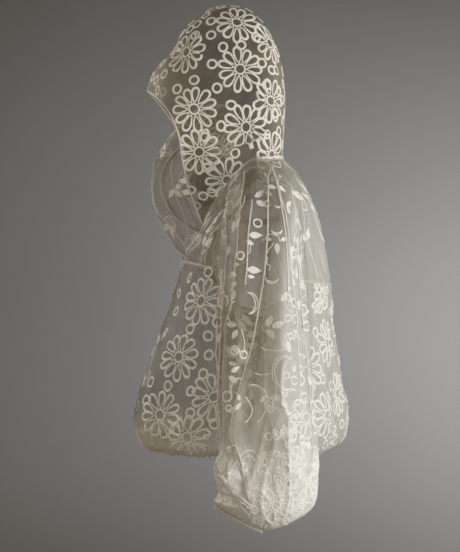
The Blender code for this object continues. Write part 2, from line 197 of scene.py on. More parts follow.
# The hood: its opening edge from the closure to the peak, and the two stretches of its centre seam.
hood = {
    "opening": (
        (0.0003, -0.086, -0.092),
        (0.034, -0.0975, -0.060),
        (0.056, -0.107, -0.033),
        (0.071, -0.1135, 0.001),
        (0.080, -0.118, 0.034),
        (0.076, -0.131, 0.068),
        (0.047, -0.152, 0.096),
        (0.0002, -0.1700, 0.1138),
    ),
    "topSeam": (
        (-0.1700, 0.1138),
        (-0.1630, 0.1350),
        (-0.1490, 0.1565),
        (-0.1310, 0.1720),
        (-0.1200, 0.1955),
        (-0.0990, 0.2190),
        (-0.0620, 0.2405),
        (-0.0220, 0.2390),
        (0.0010, 0.2230),
        (0.0185, 0.2000),
    ),
    "backSeam": (
        (0.037, 0.010),
        (0.038, 0.030),
        (0.0395, 0.060),
        (0.041, 0.095),
        (0.039, 0.131),
        (0.031, 0.169),
        (0.0185, 0.200),
    ),
    # place from the opening to the back, place up from the neckline, reach each way, height
    "creases": (
        (0.78, 0.13, 0.10, 0.06, 0.0050),
        (0.55, 0.20, 0.12, 0.05, -0.0042),
        (0.42, 0.12, 0.10, 0.05, 0.0040),
        (0.22, 0.32, 0.08, 0.10, -0.0035),
        (0.66, 0.36, 0.07, 0.12, 0.0032),
    ),
    # sharp folds seen from the side: y and z of both ends, half width, height
    "folds": (
        (0.0100, 0.0420, -0.0140, 0.0290, 0.0035, 0.0040),
        (-0.0140, 0.0290, -0.0540, 0.0210, 0.0035, 0.0040),
        (-0.0540, 0.0210, -0.0620, -0.0010, 0.0030, 0.0030),
        (0.0000, 0.0290, -0.0420, 0.0120, 0.0040, -0.0030),
        (-0.0060, 0.1150, 0.0020, 0.0920, 0.0035, 0.0030),
        (-0.0900, -0.0200, -0.0640, -0.0500, 0.0030, 0.0026),
    ),
    "creaseSlant": 0.10,
    "halfWidth": 0.119,
    "round": (0.62, 0.66),  # how full the hood is towards the top and towards the back
    "seamHalf": 0.00015,  # the halves end this far from the middle
    "brow": 0.18,
    "crumple": 0.0016,
    "rows": 96,
    "columns": 110,
}


def hoodPoint(up, along, side):
    rise = sin(up * pi / 2)
    sweep = sin(along * pi / 2)
    neck = bodyPoint(-pi / 2 + pi * along, 0.0)
    opening, backSeam, topSeam = hood["opening"], hood["backSeam"], hood["topSeam"]
    edge = Vector([between(opening, column, rise * (len(opening) - 1)) for column in range(3)])
    back = Vector([0.0] + [between(backSeam, column, rise * (len(backSeam) - 1)) for column in range(2)])
    top = Vector([0.0] + [between(topSeam, column, sweep * (len(topSeam) - 1)) for column in range(2)])
    point = neck * (1 - rise) + top * rise + edge * (1 - sweep) + back * sweep
    point -= Vector(opening[0]) * (1 - rise) * (1 - sweep) + Vector((0.0,) + backSeam[0]) * (1 - rise) * sweep
    point -= Vector((0.0,) + topSeam[0]) * rise * (1 - sweep) + Vector((0.0,) + topSeam[-1]) * rise * sweep
    topward, backward = hood["round"]
    roundForm = max(cos(up * pi / 2), 0.0) ** topward * max(cos(along * pi / 2), 0.0) ** backward
    wide = hood["halfWidth"] * (1 - hood["brow"] * (1 - along) ** 2) * roundForm
    for creaseAlong, creaseUp, reachAlong, reachUp, height in hood["creases"]:
        across = (along - creaseAlong) / reachAlong
        above = (up - creaseUp - hood["creaseSlant"] * (along - creaseAlong)) / reachUp
        wide += height * hump(hypot(across, above), 1.0)
    nearNeck = (1 - up) ** 5
    nearEdge = (1 - along) ** 6
    wide = wide * (1 - nearNeck) + neck.x * nearNeck
    wide = wide * (1 - nearEdge) + edge.x * nearEdge
    point.x = side * (hood["seamHalf"] if up >= 1 or along >= 1 else max(wide, hood["seamHalf"]))
    return point


def hoodDetail(up, along, point):
    if up >= 1 or along >= 1:
        return 0.0
    inside = ease(min(up, 1 - up, 1 - along, along) * 12)
    total = hood["crumple"] * (ridges((point.x, point.y * 1.2, point.z * 0.8), 0.045, 5) - 0.3)
    for y0, z0, y1, z1, halfWidth, height in hood["folds"]:
        along2 = (y1 - y0) ** 2 + (z1 - z0) ** 2
        share = min(max(((point.y - y0) * (y1 - y0) + (point.z - z0) * (z1 - z0)) / along2, 0), 1)
        off = hypot(point.y - y0 - share * (y1 - y0), point.z - z0 - share * (z1 - z0))
        total += height * hump(off, halfWidth)
    return total * inside


# The sleeves: the line that starts at the shoulder, the line that starts under the arm, how far the cloth
# stands to the front and to the back, a shift to the front, the turn of the sleeve's plane and the tilt of
# the section.
sleeve = {
    "columns": ("topOut", "topZ", "underOut", "underZ", "front", "back", "forward", "plane", "tilt"),
    "left": (
        (0.036, -0.022, 0.034, -0.236, 0.056, 0.055, 0.000, 0, 0.000),
        (0.083, -0.060, 0.036, -0.252, 0.058, 0.053, 0.000, 0, 0.000),
        (0.110, -0.125, 0.037, -0.270, 0.060, 0.055, 0.000, 0, 0.000),
        (0.127, -0.200, 0.0375, -0.297, 0.0615, 0.059, 0.000, 0, 0.000),
        (0.138, -0.275, 0.038, -0.332, 0.0625, 0.0635, 0.000, 0, 0.000),
        (0.145, -0.345, 0.0385, -0.372, 0.061, 0.0675, 0.000, 0, 0.000),
        (0.148, -0.405, 0.039, -0.415, 0.060, 0.0705, 0.000, 0, 0.000),
        (0.146, -0.450, 0.041, -0.450, 0.061, 0.0705, 0.000, 0, 0.002),
        (0.138, -0.476, 0.046, -0.476, 0.0620, 0.064, 0.000, 0, 0.008),
        (0.122, -0.4890, 0.059, -0.4890, 0.0615, 0.0300, 0.000, 0, 0.0165),
        (0.112, -0.4940, 0.066, -0.4940, 0.0600, 0.0010, 0.000, 0, 0.016),
    ),
    "right": (
        (0.030, -0.034, 0.038, -0.230, 0.058, 0.058, 0.000, 6, 0.000),
        (0.058, -0.040, 0.086, -0.204, 0.056, 0.054, 0.000, 22, 0.000),
        (0.090, -0.040, 0.137, -0.160, 0.054, 0.050, 0.002, 36, 0.000),
        (0.114, -0.030, 0.178, -0.108, 0.052, 0.049, 0.004, 44, 0.000),
        (0.124, -0.014, 0.208, -0.038, 0.050, 0.048, 0.006, 47, 0.000),
        (0.116, 0.003, 0.203, 0.030, 0.048, 0.046, 0.012, 46, 0.000),
        (0.094, 0.013, 0.158, 0.071, 0.046, 0.044, 0.020, 45, 0.000),
        (0.064, 0.022, 0.108, 0.104, 0.045, 0.043, 0.028, 45, 0.000),
        (0.042, 0.036, 0.070, 0.118, 0.042, 0.040, 0.033, 45, 0.000),
        (0.030, 0.054, 0.049, 0.115, 0.033, 0.031, 0.036, 45, 0.000),
        (0.024, 0.060, 0.042, 0.112, 0.028, 0.027, 0.038, 45, 0.000),
    ),
    "start": 0.016,
    # soft folds: angle at the top and at the bottom (0 on the shoulder line, 90 to the front), half width,
    # height, and where along the sleeve the fold begins and ends
    "folds": (
        (12, 68, 13, 0.0085, 0.02, 0.94),
        (-16, -36, 13, 0.0075, 0.02, 0.78),
        (44, 106, 13, -0.0070, 0.05, 0.84),
        (-54, -68, 14, -0.0060, 0.05, 0.88),
        (-4, 18, 12, -0.0065, 0.05, 0.74),
        (-94, -100, 14, 0.0060, 0.10, 0.92),
        (120, 128, 14, 0.0050, 0.15, 0.92),
    ),
    # laid-over folds, where the cloth doubles back on itself: half width and overlap in degrees, height, and
    # the line the fold follows, as places along the sleeve and angles
    "laidFolds": {
        "left": (
            (8.0, 6.8, 0.0026, (
                (0.03, -11), (0.18, -10.6), (0.26, -9.4), (0.316, -5.6), (0.342, -3.1), (0.395, 3.1),
                (0.432, 8.1), (0.474, 15.6), (0.50, 20.6), (0.547, 28), (0.584, 33), (0.616, 32))),
            (7.0, 5.5, -0.0024, (
                (0.03, -14), (0.19, -23), (0.253, -37), (0.305, -42), (0.347, -50), (0.50, -52))),
            (16.0, 13.5, 0.0024, (
                (0.03, 14), (0.19, 19), (0.29, 22), (0.347, 26), (0.38, 28), (0.41, 44), (0.50, 60))),
            (7.0, 5.0, 0.0020, ((0.08, 48), (0.25, 58), (0.45, 76), (0.60, 84))),
            (12.0, 10.0, -0.0022, ((0.08, -42), (0.19, -56), (0.30, -66), (0.52, -70), (0.66, -72))),
            (8.0, 5.5, -0.0020, ((0.06, -118), (0.30, -126), (0.65, -132))),
            (8.0, 5.5, 0.0018, ((0.06, 112), (0.30, 122), (0.62, 130))),
            (8.0, 6.4, 0.0024, (
                (0.630, 96), (0.645, 80), (0.668, 58), (0.705, 43), (0.753, 29), (0.805, 13))),
            (5.0, 4.2, 0.0020, ((0.630, 30), (0.658, 26), (0.695, 19), (0.768, 13))),
        ),
        "right": (
            (8.0, 6.4, 0.0024, ((0.03, -10), (0.20, -6), (0.35, 4), (0.55, 8))),
            (12.0, 10.0, 0.0022, ((0.03, 26), (0.20, 34), (0.40, 42), (0.66, 44))),
            (7.0, 5.5, 0.0022, ((0.05, 68), (0.25, 80), (0.50, 88), (0.80, 90))),
            (10.0, 8.0, 0.0022, ((0.05, -50), (0.25, -62), (0.55, -70))),
            (7.0, 5.5, 0.0020, ((0.10, 128), (0.35, 136), (0.70, 140))),
            (8.0, 6.0, 0.0020, ((0.10, -120), (0.35, -128), (0.70, -134))),
        ),
    },
    # the cloth is nipped in twice above the left wrist and bulges under each nip: height, level below the
    # shoulders and half width, in metres, then the angle they face, their reach and the line's slant
    "nips": (
        ((-0.0070, 0.401, 0.0055), (0.0070, 0.425, 0.0100)),
        ((-0.0060, 0.458, 0.0050), (0.0030, 0.474, 0.0060)),
    ),
    "nipsFace": (78, 34),
    "nipsSlant": 0.16,
    "square": 0.92,  # below 1 the section is fuller than an ellipse
    "gathers": 44,  # round the armhole and the wrist
    "gatherHeight": 0.0016,
    "crumple": 0.0024,
    "around": 288,
    "rings": 190,
}


def lineAt(line, along):
    if along <= line[0][0]:
        return line[0][1]
    for (here, hereAngle), (there, thereAngle) in zip(line, line[1:]):
        if along <= there:
            return hereAngle + (thereAngle - hereAngle) * (along - here) / (there - here)
    return line[-1][1]


def sleeveSection(rows, place, angle, side):
    row = {name: between(rows, column, place) for column, name in enumerate(sleeve["columns"])}
    top = Vector((row["topOut"], row["topZ"]))
    under = Vector((row["underOut"], row["underZ"]))
    middle = (top + under) / 2
    share = cos(angle)
    flat = middle + (top - under) / 2 * copysign(abs(share) ** sleeve["square"], share)
    lean = sin(angle)
    reach = row["front"] if lean > 0 else row["back"]
    forward = row["forward"] + reach * copysign(abs(lean) ** sleeve["square"], lean)
    plane = radians(row["plane"])
    outWay = Vector((side * cos(plane), -sin(plane), 0))
    frontWay = Vector((-side * sin(plane), -cos(plane), 0))
    base = Vector((side * body["rows"][2][2], 0, 0))
    point = base + outWay * flat.x + frontWay * forward + Vector((0, 0, flat.y))
    spine = base + outWay * middle.x + frontWay * row["forward"] + Vector((0, 0, middle.y))
    out = (point - spine).normalized()
    point.z += row["tilt"] * (lean + hypot(lean, 0.15) - 1)  # the wrist slants down to the back
    return point, out


def sleeveFold(turn, along):
    total = 0.0
    for top, bottom, spread, height, starts, ends in sleeve["folds"]:
        if starts < along < ends:
            share = (along - starts) / (ends - starts)
            grown = ease(share * 6) * ease((1 - share) * 4)
            total += height * grown * hump(turnBetween(turn, top + (bottom - top) * along), spread)
    return total


def sleevePoint(name, along, turn):
    # along is 0 at the armhole and 1 at the wrist, turn is in degrees from the shoulder line to the front
    rows = sleeve[name]
    side = 1 if name == "left" else -1
    last = len(rows) - 1
    place = along * (last + 1) - 1
    share = max(place, 0.0) / last
    raised = 0.0
    moved = turn
    for halfWidth, overlap, height, line in sleeve["laidFolds"][name]:
        off = turnBetween(turn, lineAt(line, along)) / halfWidth
        if abs(off) < 1 and line[0][0] - 0.02 < along < line[-1][0] + 0.06:
            grown = ease((along - line[0][0] + 0.02) / 0.05) * ease((line[-1][0] + 0.06 - along) / 0.09)
            moved -= overlap * grown * sin(pi * off) * (1 - off * off) ** 0.5
            raised -= height * grown * sin(pi * off) * (1 - off * off) ** 0.5
    angle = radians(moved)
    point, out = sleeveSection(rows, max(place, 0.0), angle, side)
    point += out * (sleeveFold(moved, share) + raised)
    if place < 0:
        start = armholePoint((moved / 360) % 1, side) + Vector((side * sleeve["start"] * (place + 1), 0, 0))
        point = start.lerp(point, ease(place + 1) ** 1.5)
    return point + out * sleeveDetail(name, along, moved, point)


def sleeveDetail(name, along, turn, point):
    wave = radians(turn) * sleeve["gathers"] + 4 * noise.noise(Vector((turn * 0.03, 0.7, 1.0)))
    shoulder = ease(along * 40) * ease((0.16 - along) / 0.12) * (0.5 + 0.5 * cos(radians(turn)))
    wrist = ease((along - 0.86) / 0.08) * ease((1.0 - along) * 60)
    total = sin(wave) * sleeve["gatherHeight"] * (shoulder * 0.9 + wrist)
    edge = ease(along * 14) * ease((1 - along) * 14)
    stretched = (point.x * 1.3, point.y * 1.3, point.z * 0.45)
    slanting = (point.x, point.y + 0.5 * point.z, point.z * 0.8)
    total += sleeve["crumple"] * edge * (ridges(stretched, 0.042, 5) + 0.5 * ridges(slanting, 0.026, 6) - 0.4)
    if name == "left" and along > 0.6:
        faces, reach = sleeve["nipsFace"]
        facing = hump(turnBetween(turn, faces), reach)
        level = point.z + sleeve["nipsSlant"] * (point.y + 0.09)
        for pair in sleeve["nips"]:
            nip, bulge = (height * hump(level + below, halfWidth) for height, below, halfWidth in pair)
            total += facing * (nip + bulge)
    return total


def linear(code):
    # an sRGB hex value as linear colour
    parts = [int(code[i:i + 2], 16) / 255 for i in (1, 3, 5)]
    return [p / 12.92 if p <= 0.04045 else ((p + 0.055) / 1.055) ** 2.4 for p in parts] + [1.0]


def addNode(tree, kind, settings=None, links=None):
    # sockets go by name or number; a node given as a source stands for its first output
    node = tree.nodes.new(kind)
    for name, value in (settings or {}).items():
        if isinstance(name, int) or name in node.inputs:
            node.inputs[name].default_value = value
        else:
            setattr(node, name, value)
    for name, source in (links or {}).items():
        tree.links.new(getattr(source, "outputs", [source])[0], node.inputs[name])
    return node


def newMaterial(name, values):
    material = bpy.data.materials.new(name)
    material.use_nodes = True
    shader = material.node_tree.nodes["Principled BSDF"]
    for socket, value in values.items():
        shader.inputs[socket].default_value = value
    return material, material.node_tree, shader


def organzaMaterial(name, look):
    # silk-like polyester organza, plain weave: sheer, crisp, with a soft gloss on its fold lines
    material, tree, shader = newMaterial(name, {
        "Roughness": look["roughness"], "IOR": 1.46, "Sheen Weight": look["sheen"], "Sheen Roughness": 0.35,
        "Sheen Tint": linear("#fffaf0"), "Specular IOR Level": 0.4})
    place = addNode(tree, "ShaderNodeTexCoord").outputs
    # the real threads are 0.25 mm apart, drawn 1.1 mm apart so that the weave shows; UVs are in metres
    threads = [addNode(tree, "ShaderNodeTexWave", {
        "Scale": 1000 / (1.1 * 20), "Distortion": 0.4, "bands_direction": way},
        {"Vector": place["UV"]}).outputs["Fac"] for way in "XY"]
    weave = addNode(tree, "ShaderNodeMath", {"operation": "ADD"}, dict(enumerate(threads)))
    crinkle = addNode(tree, "ShaderNodeTexNoise", {"Scale": 1000 / 9.0, "Detail": 4.0, "Roughness": 0.6},
                      {"Vector": place["Object"]})
    weaveBump = addNode(tree, "ShaderNodeBump", {"Strength": 0.25, "Distance": 0.0003}, {"Height": weave})
    crinkleBump = addNode(tree, "ShaderNodeBump", {"Strength": 0.5, "Distance": 0.0012},
                          {"Height": crinkle, "Normal": weaveBump})
    # crushed threads lie closer together in thin streaks, about 6 mm wide and 40 mm long that catch the light
    stretched = addNode(tree, "ShaderNodeMapping", {"Scale": (1.0, 1.0, 0.16)}, {"Vector": place["Object"]})
    streaks = addNode(tree, "ShaderNodeTexNoise", {
        "Scale": 1000 / 12.0, "Detail": 3.0, "Roughness": 0.55, "Distortion": 0.6}, {"Vector": stretched})
    density = addNode(tree, "ShaderNodeMapRange", {
        "From Min": 0.42, "From Max": 0.72, "To Min": look["alpha"], "To Max": look["streak"]},
        {"Value": streaks})
    layeredAndLit = None
    # more cover and a whiter colour towards one end, by metres along a direction: partly the extra layers of
    # gathered cloth, partly painted light; a row that takes cover away paints shade
    for way, start, end, more in look["layersAndPaintedLight"]:
        # the gathered cloth lies in more layers towards one end, by metres along a direction
        along = addNode(tree, "ShaderNodeVectorMath", {"operation": "DOT_PRODUCT", 1: way},
                        {0: place["Object"]})
        layer = addNode(tree, "ShaderNodeMapRange", {"From Min": start, "From Max": end, "To Max": more},
                        {"Value": along.outputs["Value"]})
        if layeredAndLit:
            layer = addNode(tree, "ShaderNodeMath", {"operation": "ADD"}, {0: layeredAndLit, 1: layer})
        layeredAndLit = layer
    thicknessAndLight = addNode(tree, "ShaderNodeMath", {"operation": "ADD", "use_clamp": True},
                        {0: density, 1: layeredAndLit})
    cloudy = addNode(tree, "ShaderNodeTexNoise", {"Scale": 1000 / 60.0, "Detail": 2.0},
                     {"Vector": place["Object"]})
    tone = addNode(tree, "ShaderNodeValToRGB", {}, {"Fac": cloudy})
    for stop, at, code in zip(tone.color_ramp.elements, (0.35, 0.7), (look["shade"], look["light"])):
        stop.position = at
        stop.color = linear(code)
    # painted shade: one layer is coloured as the shade seen through it; where layers and painted light add
    # up, the colour turns milky
    milkyAndLit = addNode(tree, "ShaderNodeMath", {"operation": "MULTIPLY", "use_clamp": True, 1: 3.0},
                    {0: layeredAndLit})
    mixed = addNode(tree, "ShaderNodeMix", {"data_type": "RGBA", 7: linear(look["denseAndLit"])},
                    {0: milkyAndLit, 6: tone})
    tree.links.new(crinkleBump.outputs["Normal"], shader.inputs["Normal"])
    tree.links.new(thicknessAndLight.outputs[0], shader.inputs["Alpha"])
    tree.links.new(mixed.outputs[2], shader.inputs["Base Color"])
    return material


def threadMaterial(name, look):
    # matt viscose embroidery thread in dense satin stitch: soft silky sheen, fine ribs across each cord
    material, tree, shader = newMaterial(name, {
        "Roughness": look["roughness"], "IOR": 1.5, "Sheen Weight": 0.25, "Sheen Roughness": 0.4,
        "Sheen Tint": linear("#ffffff"), "Specular IOR Level": 0.2})
    place = addNode(tree, "ShaderNodeTexCoord").outputs
    # stitches lie 0.4 mm apart, drawn 0.8 mm apart so that they show; U runs along the cord in metres
    stitches = addNode(tree, "ShaderNodeTexWave", {
        "Scale": 1000 / (0.8 * 20), "Distortion": 1.2, "Detail": 2.0}, {"Vector": place["UV"]})
    bump = addNode(tree, "ShaderNodeBump", {"Strength": 0.6, "Distance": 0.0004},
                   {"Height": stitches.outputs["Fac"]})
    # the thread's own uneven tone, in patches of about 4 mm
    fibre = addNode(tree, "ShaderNodeTexNoise", {"Scale": 1000 / 4.0, "Detail": 3.0},
                    {"Vector": place["Object"]})
    tone = addNode(tree, "ShaderNodeValToRGB", {}, {"Fac": fibre})
    for stop, at, code in zip(tone.color_ramp.elements, (0.3, 0.7), (look["shade"], look["light"])):
        stop.position = at
        stop.color = linear(code)
    tree.links.new(bump.outputs["Normal"], shader.inputs["Normal"])
    tree.links.new(tone.outputs["Color"], shader.inputs["Base Color"])
    return material


# the same cloth lies flat on the hood, is eased into the body and is gathered in the sleeves; its copies
# carry
# painted shade and light: the dark tones of the hood, the front and the sleeves are painted shade, the back's
# pale tone is the cloth in light; each row of more layers has a direction, the metres along it where more
# layers and painted light start and are full, and how much more they cover
# painted shade: the hood's dark bronze tone stands for the shade inside the hood; its rows add painted light
# towards the back and towards the front edge
hoodOrganzaPaintedShade = organzaMaterial("hoodOrganzaPaintedShade", {
    "light": "#7f6f48", "shade": "#4a3f28", "denseAndLit": "#cbbd9b",
    "alpha": 0.36, "streak": 0.52, "roughness": 0.48, "sheen": 0.25,
    "layersAndPaintedLight": (((0, 1, 0), -0.01, 0.045, 0.22), ((0, 1, 0), -0.085, -0.135, 0.09))})
# painted shade: the front's dark olive tone stands for the shade on the front; its row whitens the hem,
# partly its gathered layers, partly painted light
frontOrganzaPaintedShade = organzaMaterial("frontOrganzaPaintedShade", {
    "light": "#82755a", "shade": "#5c523a", "denseAndLit": "#d2c9b2",
    "alpha": 0.31, "streak": 0.47, "roughness": 0.48, "sheen": 0.3,
    "layersAndPaintedLight": (((0, 0, 1), -0.37, -0.42, 0.36),)})
# the back's pale tone is the cloth in light; its row adds painted light towards the back
backOrganza = organzaMaterial("backOrganza", {
    "light": "#cdc7b5", "shade": "#b2ab97", "denseAndLit": "#dedbd0",
    "alpha": 0.24, "streak": 0.46, "roughness": 0.48, "sheen": 0.25,
    "layersAndPaintedLight": (((0, 1, 0), 0.0, 0.085, 0.32),)})
# painted shade: the sleeve's dark tone stands for the shade on its upper front; its rows whiten it towards
# the wrist and the back, partly the gathers' layers, partly painted light, and one row takes some cover away
sleeveOrganzaPaintedShade = organzaMaterial("sleeveOrganzaPaintedShade", {
    "light": "#a8946f", "shade": "#80704f", "denseAndLit": "#dfdcd2",
    "alpha": 0.20, "streak": 0.40, "roughness": 0.46, "sheen": 0.25,
    "layersAndPaintedLight": (((0, 0, 1), -0.25, -0.40, 0.18), ((0, 0, 1), -0.39, -0.44, 0.50),
               ((0, 1, 0), -0.035, 0.015, 0.09), ((0, 1, 0), -0.060, -0.050, 0.09),
               ((0, 1, 0), -0.028, -0.018, -0.14), ((0, 1, -0.15), 0.034, 0.066, 0.36))})
# partly painted light: its row whitens the doubled cloth towards the back
doubledOrganza = organzaMaterial("doubledOrganza", {
    "light": "#ddd7c7", "shade": "#c8c0ad", "denseAndLit": "#eeeae0",
    "alpha": 0.6, "streak": 0.75, "roughness": 0.5, "sheen": 0.4,
    "layersAndPaintedLight": (((0, 1, 0), -0.05, 0.05, 0.15),)})
# partly a painted highlight: pressed edges are near white and nearly opaque, lighter than their layers alone
pressedOrganzaAndHighlight = organzaMaterial("pressedOrganzaAndHighlight", {
    "light": "#f6f1e6", "shade": "#ebe4d5", "denseAndLit": "#fdfbf4",
    "alpha": 0.85, "streak": 0.95, "roughness": 0.5, "sheen": 0.5,
    "layersAndPaintedLight": (((0, 1, 0), -0.05, 0.05, 0.10),)})
corded = threadMaterial("cordedThread", {"light": "#faf7ef", "shade": "#ece8dc", "roughness": 0.7})
print("materials ready")

pieces = {}
grids = {}  # each panel's rows of points


def makePiece(name, points, faces, uvs, material):
    mesh = bpy.data.meshes.new(name)
    mesh.from_pydata([tuple(point) for point in points], [], faces)
    layer = mesh.uv_layers.new(name="metres")
    layer.data.foreach_set("uv", [value for pair in uvs for value in pair])
    mesh.shade_smooth()
    mesh.materials.append(material)
    piece = bpy.data.objects.new(name, mesh)
    scene.collection.objects.link(piece)
    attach(piece, "root")
    return piece


def gridOf(points):
    return np.array([[tuple(point) for point in line] for line in points])


def gridNormals(points, closed=False):
    grid = gridOf(points)
    if closed:
        around = np.roll(grid, -1, axis=1) - np.roll(grid, 1, axis=1)
    else:
        around = np.gradient(grid, axis=1)
    normals = np.cross(around, np.gradient(grid, axis=0))
    lengths = np.linalg.norm(normals, axis=2, keepdims=True)
    return normals / np.maximum(lengths, 1e-12)


def flatPlaces(points):
    # flat cloth coordinates in metres: width along each row from its start, length down the middle column
    grid = gridOf(points)
    middle = grid.shape[1] // 2
    down = np.concatenate([[0], np.cumsum(np.linalg.norm(np.diff(grid[:, middle], axis=0), axis=1))])
    across = np.linalg.norm(np.diff(grid, axis=1), axis=2).mean(axis=0)
    across = np.concatenate([[0], np.cumsum(across)])
    return [[(float(u), float(v)) for u in across] for v in down]


def sheetPiece(name, points, material, closed=False):
    # a cloth sheet through rows of points
    rows, columns = len(points), len(points[0])
    flat = flatPlaces(points)
    faces = []
    uvs = []
    for row in range(rows - 1):
        for column in range(columns if closed else columns - 1):
            after = (column + 1) % columns
            faces.append((row * columns + column, row * columns + after,
                          (row + 1) * columns + after, (row + 1) * columns + column))
            u0, v0 = flat[row][column]
            u1 = flat[row][after][0] if after else u0 + (u0 - flat[row][column - 1][0])
            v1 = flat[row + 1][column][1]
            uvs += [(u0, v0), (u1, v0), (u1, v1), (u0, v1)]
    return makePiece(name, [point for line in points for point in line], faces, uvs, material)


def addPanel(name, points, material, closed=False):
    grids[name] = points
    pieces[name] = sheetPiece(name, points, material, closed)


def steps(count):
    return [index / count for index in range(count + 1)]


def raised(plain, outward, detail):
    # rows of points moved along their normals by detail's heights; outward turns a normal the right way
    normals = gridNormals(plain)
    return [[point + outward(Vector(normals[row][column])) * detail(row, column, point)
             for column, point in enumerate(line)] for row, line in enumerate(plain)]


def bodyPanel(name, angles, levels, columns, material):
    # a body panel from its angles and levels
    places = [[(angles(level, across), level) for across in steps(columns)] for level in levels]
    plain = [[bodyPoint(*place) for place in line] for line in places]
    middle, centre = len(plain) // 2, columns // 2
    probe = plain[middle][centre]
    facing = Vector(gridNormals(plain)[middle][centre]).dot(Vector((probe.x, probe.y, 0)))
    points = raised(plain, lambda out: out if facing > 0 else -out,
                    lambda row, column, point: bodyDetail(*places[row][column], point))
    addPanel(name, points, material)


for side, word in ((1, "Left"), (-1, "Right")):
    angles = lambda level, across, side=side: frontAngle(level, across, side)
    bodyPanel("frontYoke" + word, angles, yokeLevels, 56, frontOrganzaPaintedShade)
    bodyPanel("front" + word, angles, lowerLevels, 110, frontOrganzaPaintedShade)
bodyPanel("backYoke", backAngle, yokeLevels, 120, backOrganza)
bodyPanel("backPanel", backAngle, lowerLevels, 220, backOrganza)
print("body panels made")

for side, word in ((1, "Left"), (-1, "Right")):
    ups, alongs = steps(hood["rows"]), steps(hood["columns"])
    plain = [[hoodPoint(up, along, side) for along in alongs] for up in ups]
    points = raised(plain, lambda out: -out if out.x * side < 0 else out,
                    lambda row, column, point: hoodDetail(ups[row], alongs[column], point))
    addPanel("hood" + word, points, hoodOrganzaPaintedShade)
print("hood made")

for name, word in (("left", "Left"), ("right", "Right")):
    turns = [360 * step / sleeve["around"] for step in range(sleeve["around"])]
    points = [[sleevePoint(name, along, turn) for turn in turns] for along in steps(sleeve["rings"])]
    addPanel("sleeve" + word, points, sleeveOrganzaPaintedShade, closed=True)
print("sleeves made")


def clothTree(piece):
    mesh = piece.data
    points = [vertex.co.copy() for vertex in mesh.vertices]
    return BVHTree.FromPolygons(points, [tuple(face.vertices) for face in mesh.polygons])


trees = {name: clothTree(piece) for name, piece in pieces.items()}


def clothWalk(points, closed=False):
    # lengths along the rows and down the columns of a panel, by which a motif is laid along the cloth
    grid = gridOf(points)
    if closed:
        grid = np.concatenate([grid, grid[:, :1]], axis=1)
    across = np.linalg.norm(np.diff(grid, axis=1), axis=2)
    down = np.linalg.norm(np.diff(grid, axis=0), axis=2)
    across = np.concatenate([np.zeros((grid.shape[0], 1)), np.cumsum(across, axis=1)], axis=1)
    down = np.concatenate([np.zeros((1, grid.shape[1])), np.cumsum(down, axis=0)], axis=0)
    normals = gridNormals(points, closed)
    if closed:
        normals = np.concatenate([normals, normals[:, :1]], axis=1)
    return {"grid": grid, "across": across, "down": down, "normals": normals, "closed": closed}


walks = {}  # the hood's halves have none: their rows and columns fan out
for name, points in grids.items():
    if not name.startswith("hood"):
        walks[name] = clothWalk(points, name.startswith("sleeve"))


def walkTo(walk, row, column, a, b):
    # the place on the cloth at a metres across and b metres up from a row and a column, or None past the edge
    last = walk["grid"].shape[1] - 1
    column = column % last if walk["closed"] else min(max(column, 0), last)
    near = int(column)
    lengths = walk["down"][:, near]
    row = min(max(row, 0.0), len(lengths) - 1.001)
    base = lengths[int(row)] + (row - int(row)) * (lengths[int(row) + 1] - lengths[int(row)])
    target = base - b
    if not 0 <= target <= lengths[-1]:
        return None
    above = min(int(np.searchsorted(lengths, target, side="right")) - 1, len(lengths) - 2)
    downShare = (target - lengths[above]) / max(lengths[above + 1] - lengths[above], 1e-9)
    line = walk["across"][above]
    target = line[near] + (column - near) * (line[min(near + 1, len(line) - 1)] - line[near]) + a
    if walk["closed"]:
        target %= line[-1]
    elif not 0 <= target <= line[-1]:
        return None
    left = min(int(np.searchsorted(line, target, side="right")) - 1, len(line) - 2)
    share = (target - line[left]) / max(line[left + 1] - line[left], 1e-9)
    found = []
    for values in (walk["grid"], walk["normals"]):
        upper = values[above, left] * (1 - share) + values[above, left + 1] * share
        lower = values[above + 1, left] * (1 - share) + values[above + 1, left + 1] * share
        found.append(Vector(upper * (1 - downShare) + lower * downShare))
    return found[0], found[1].normalized()


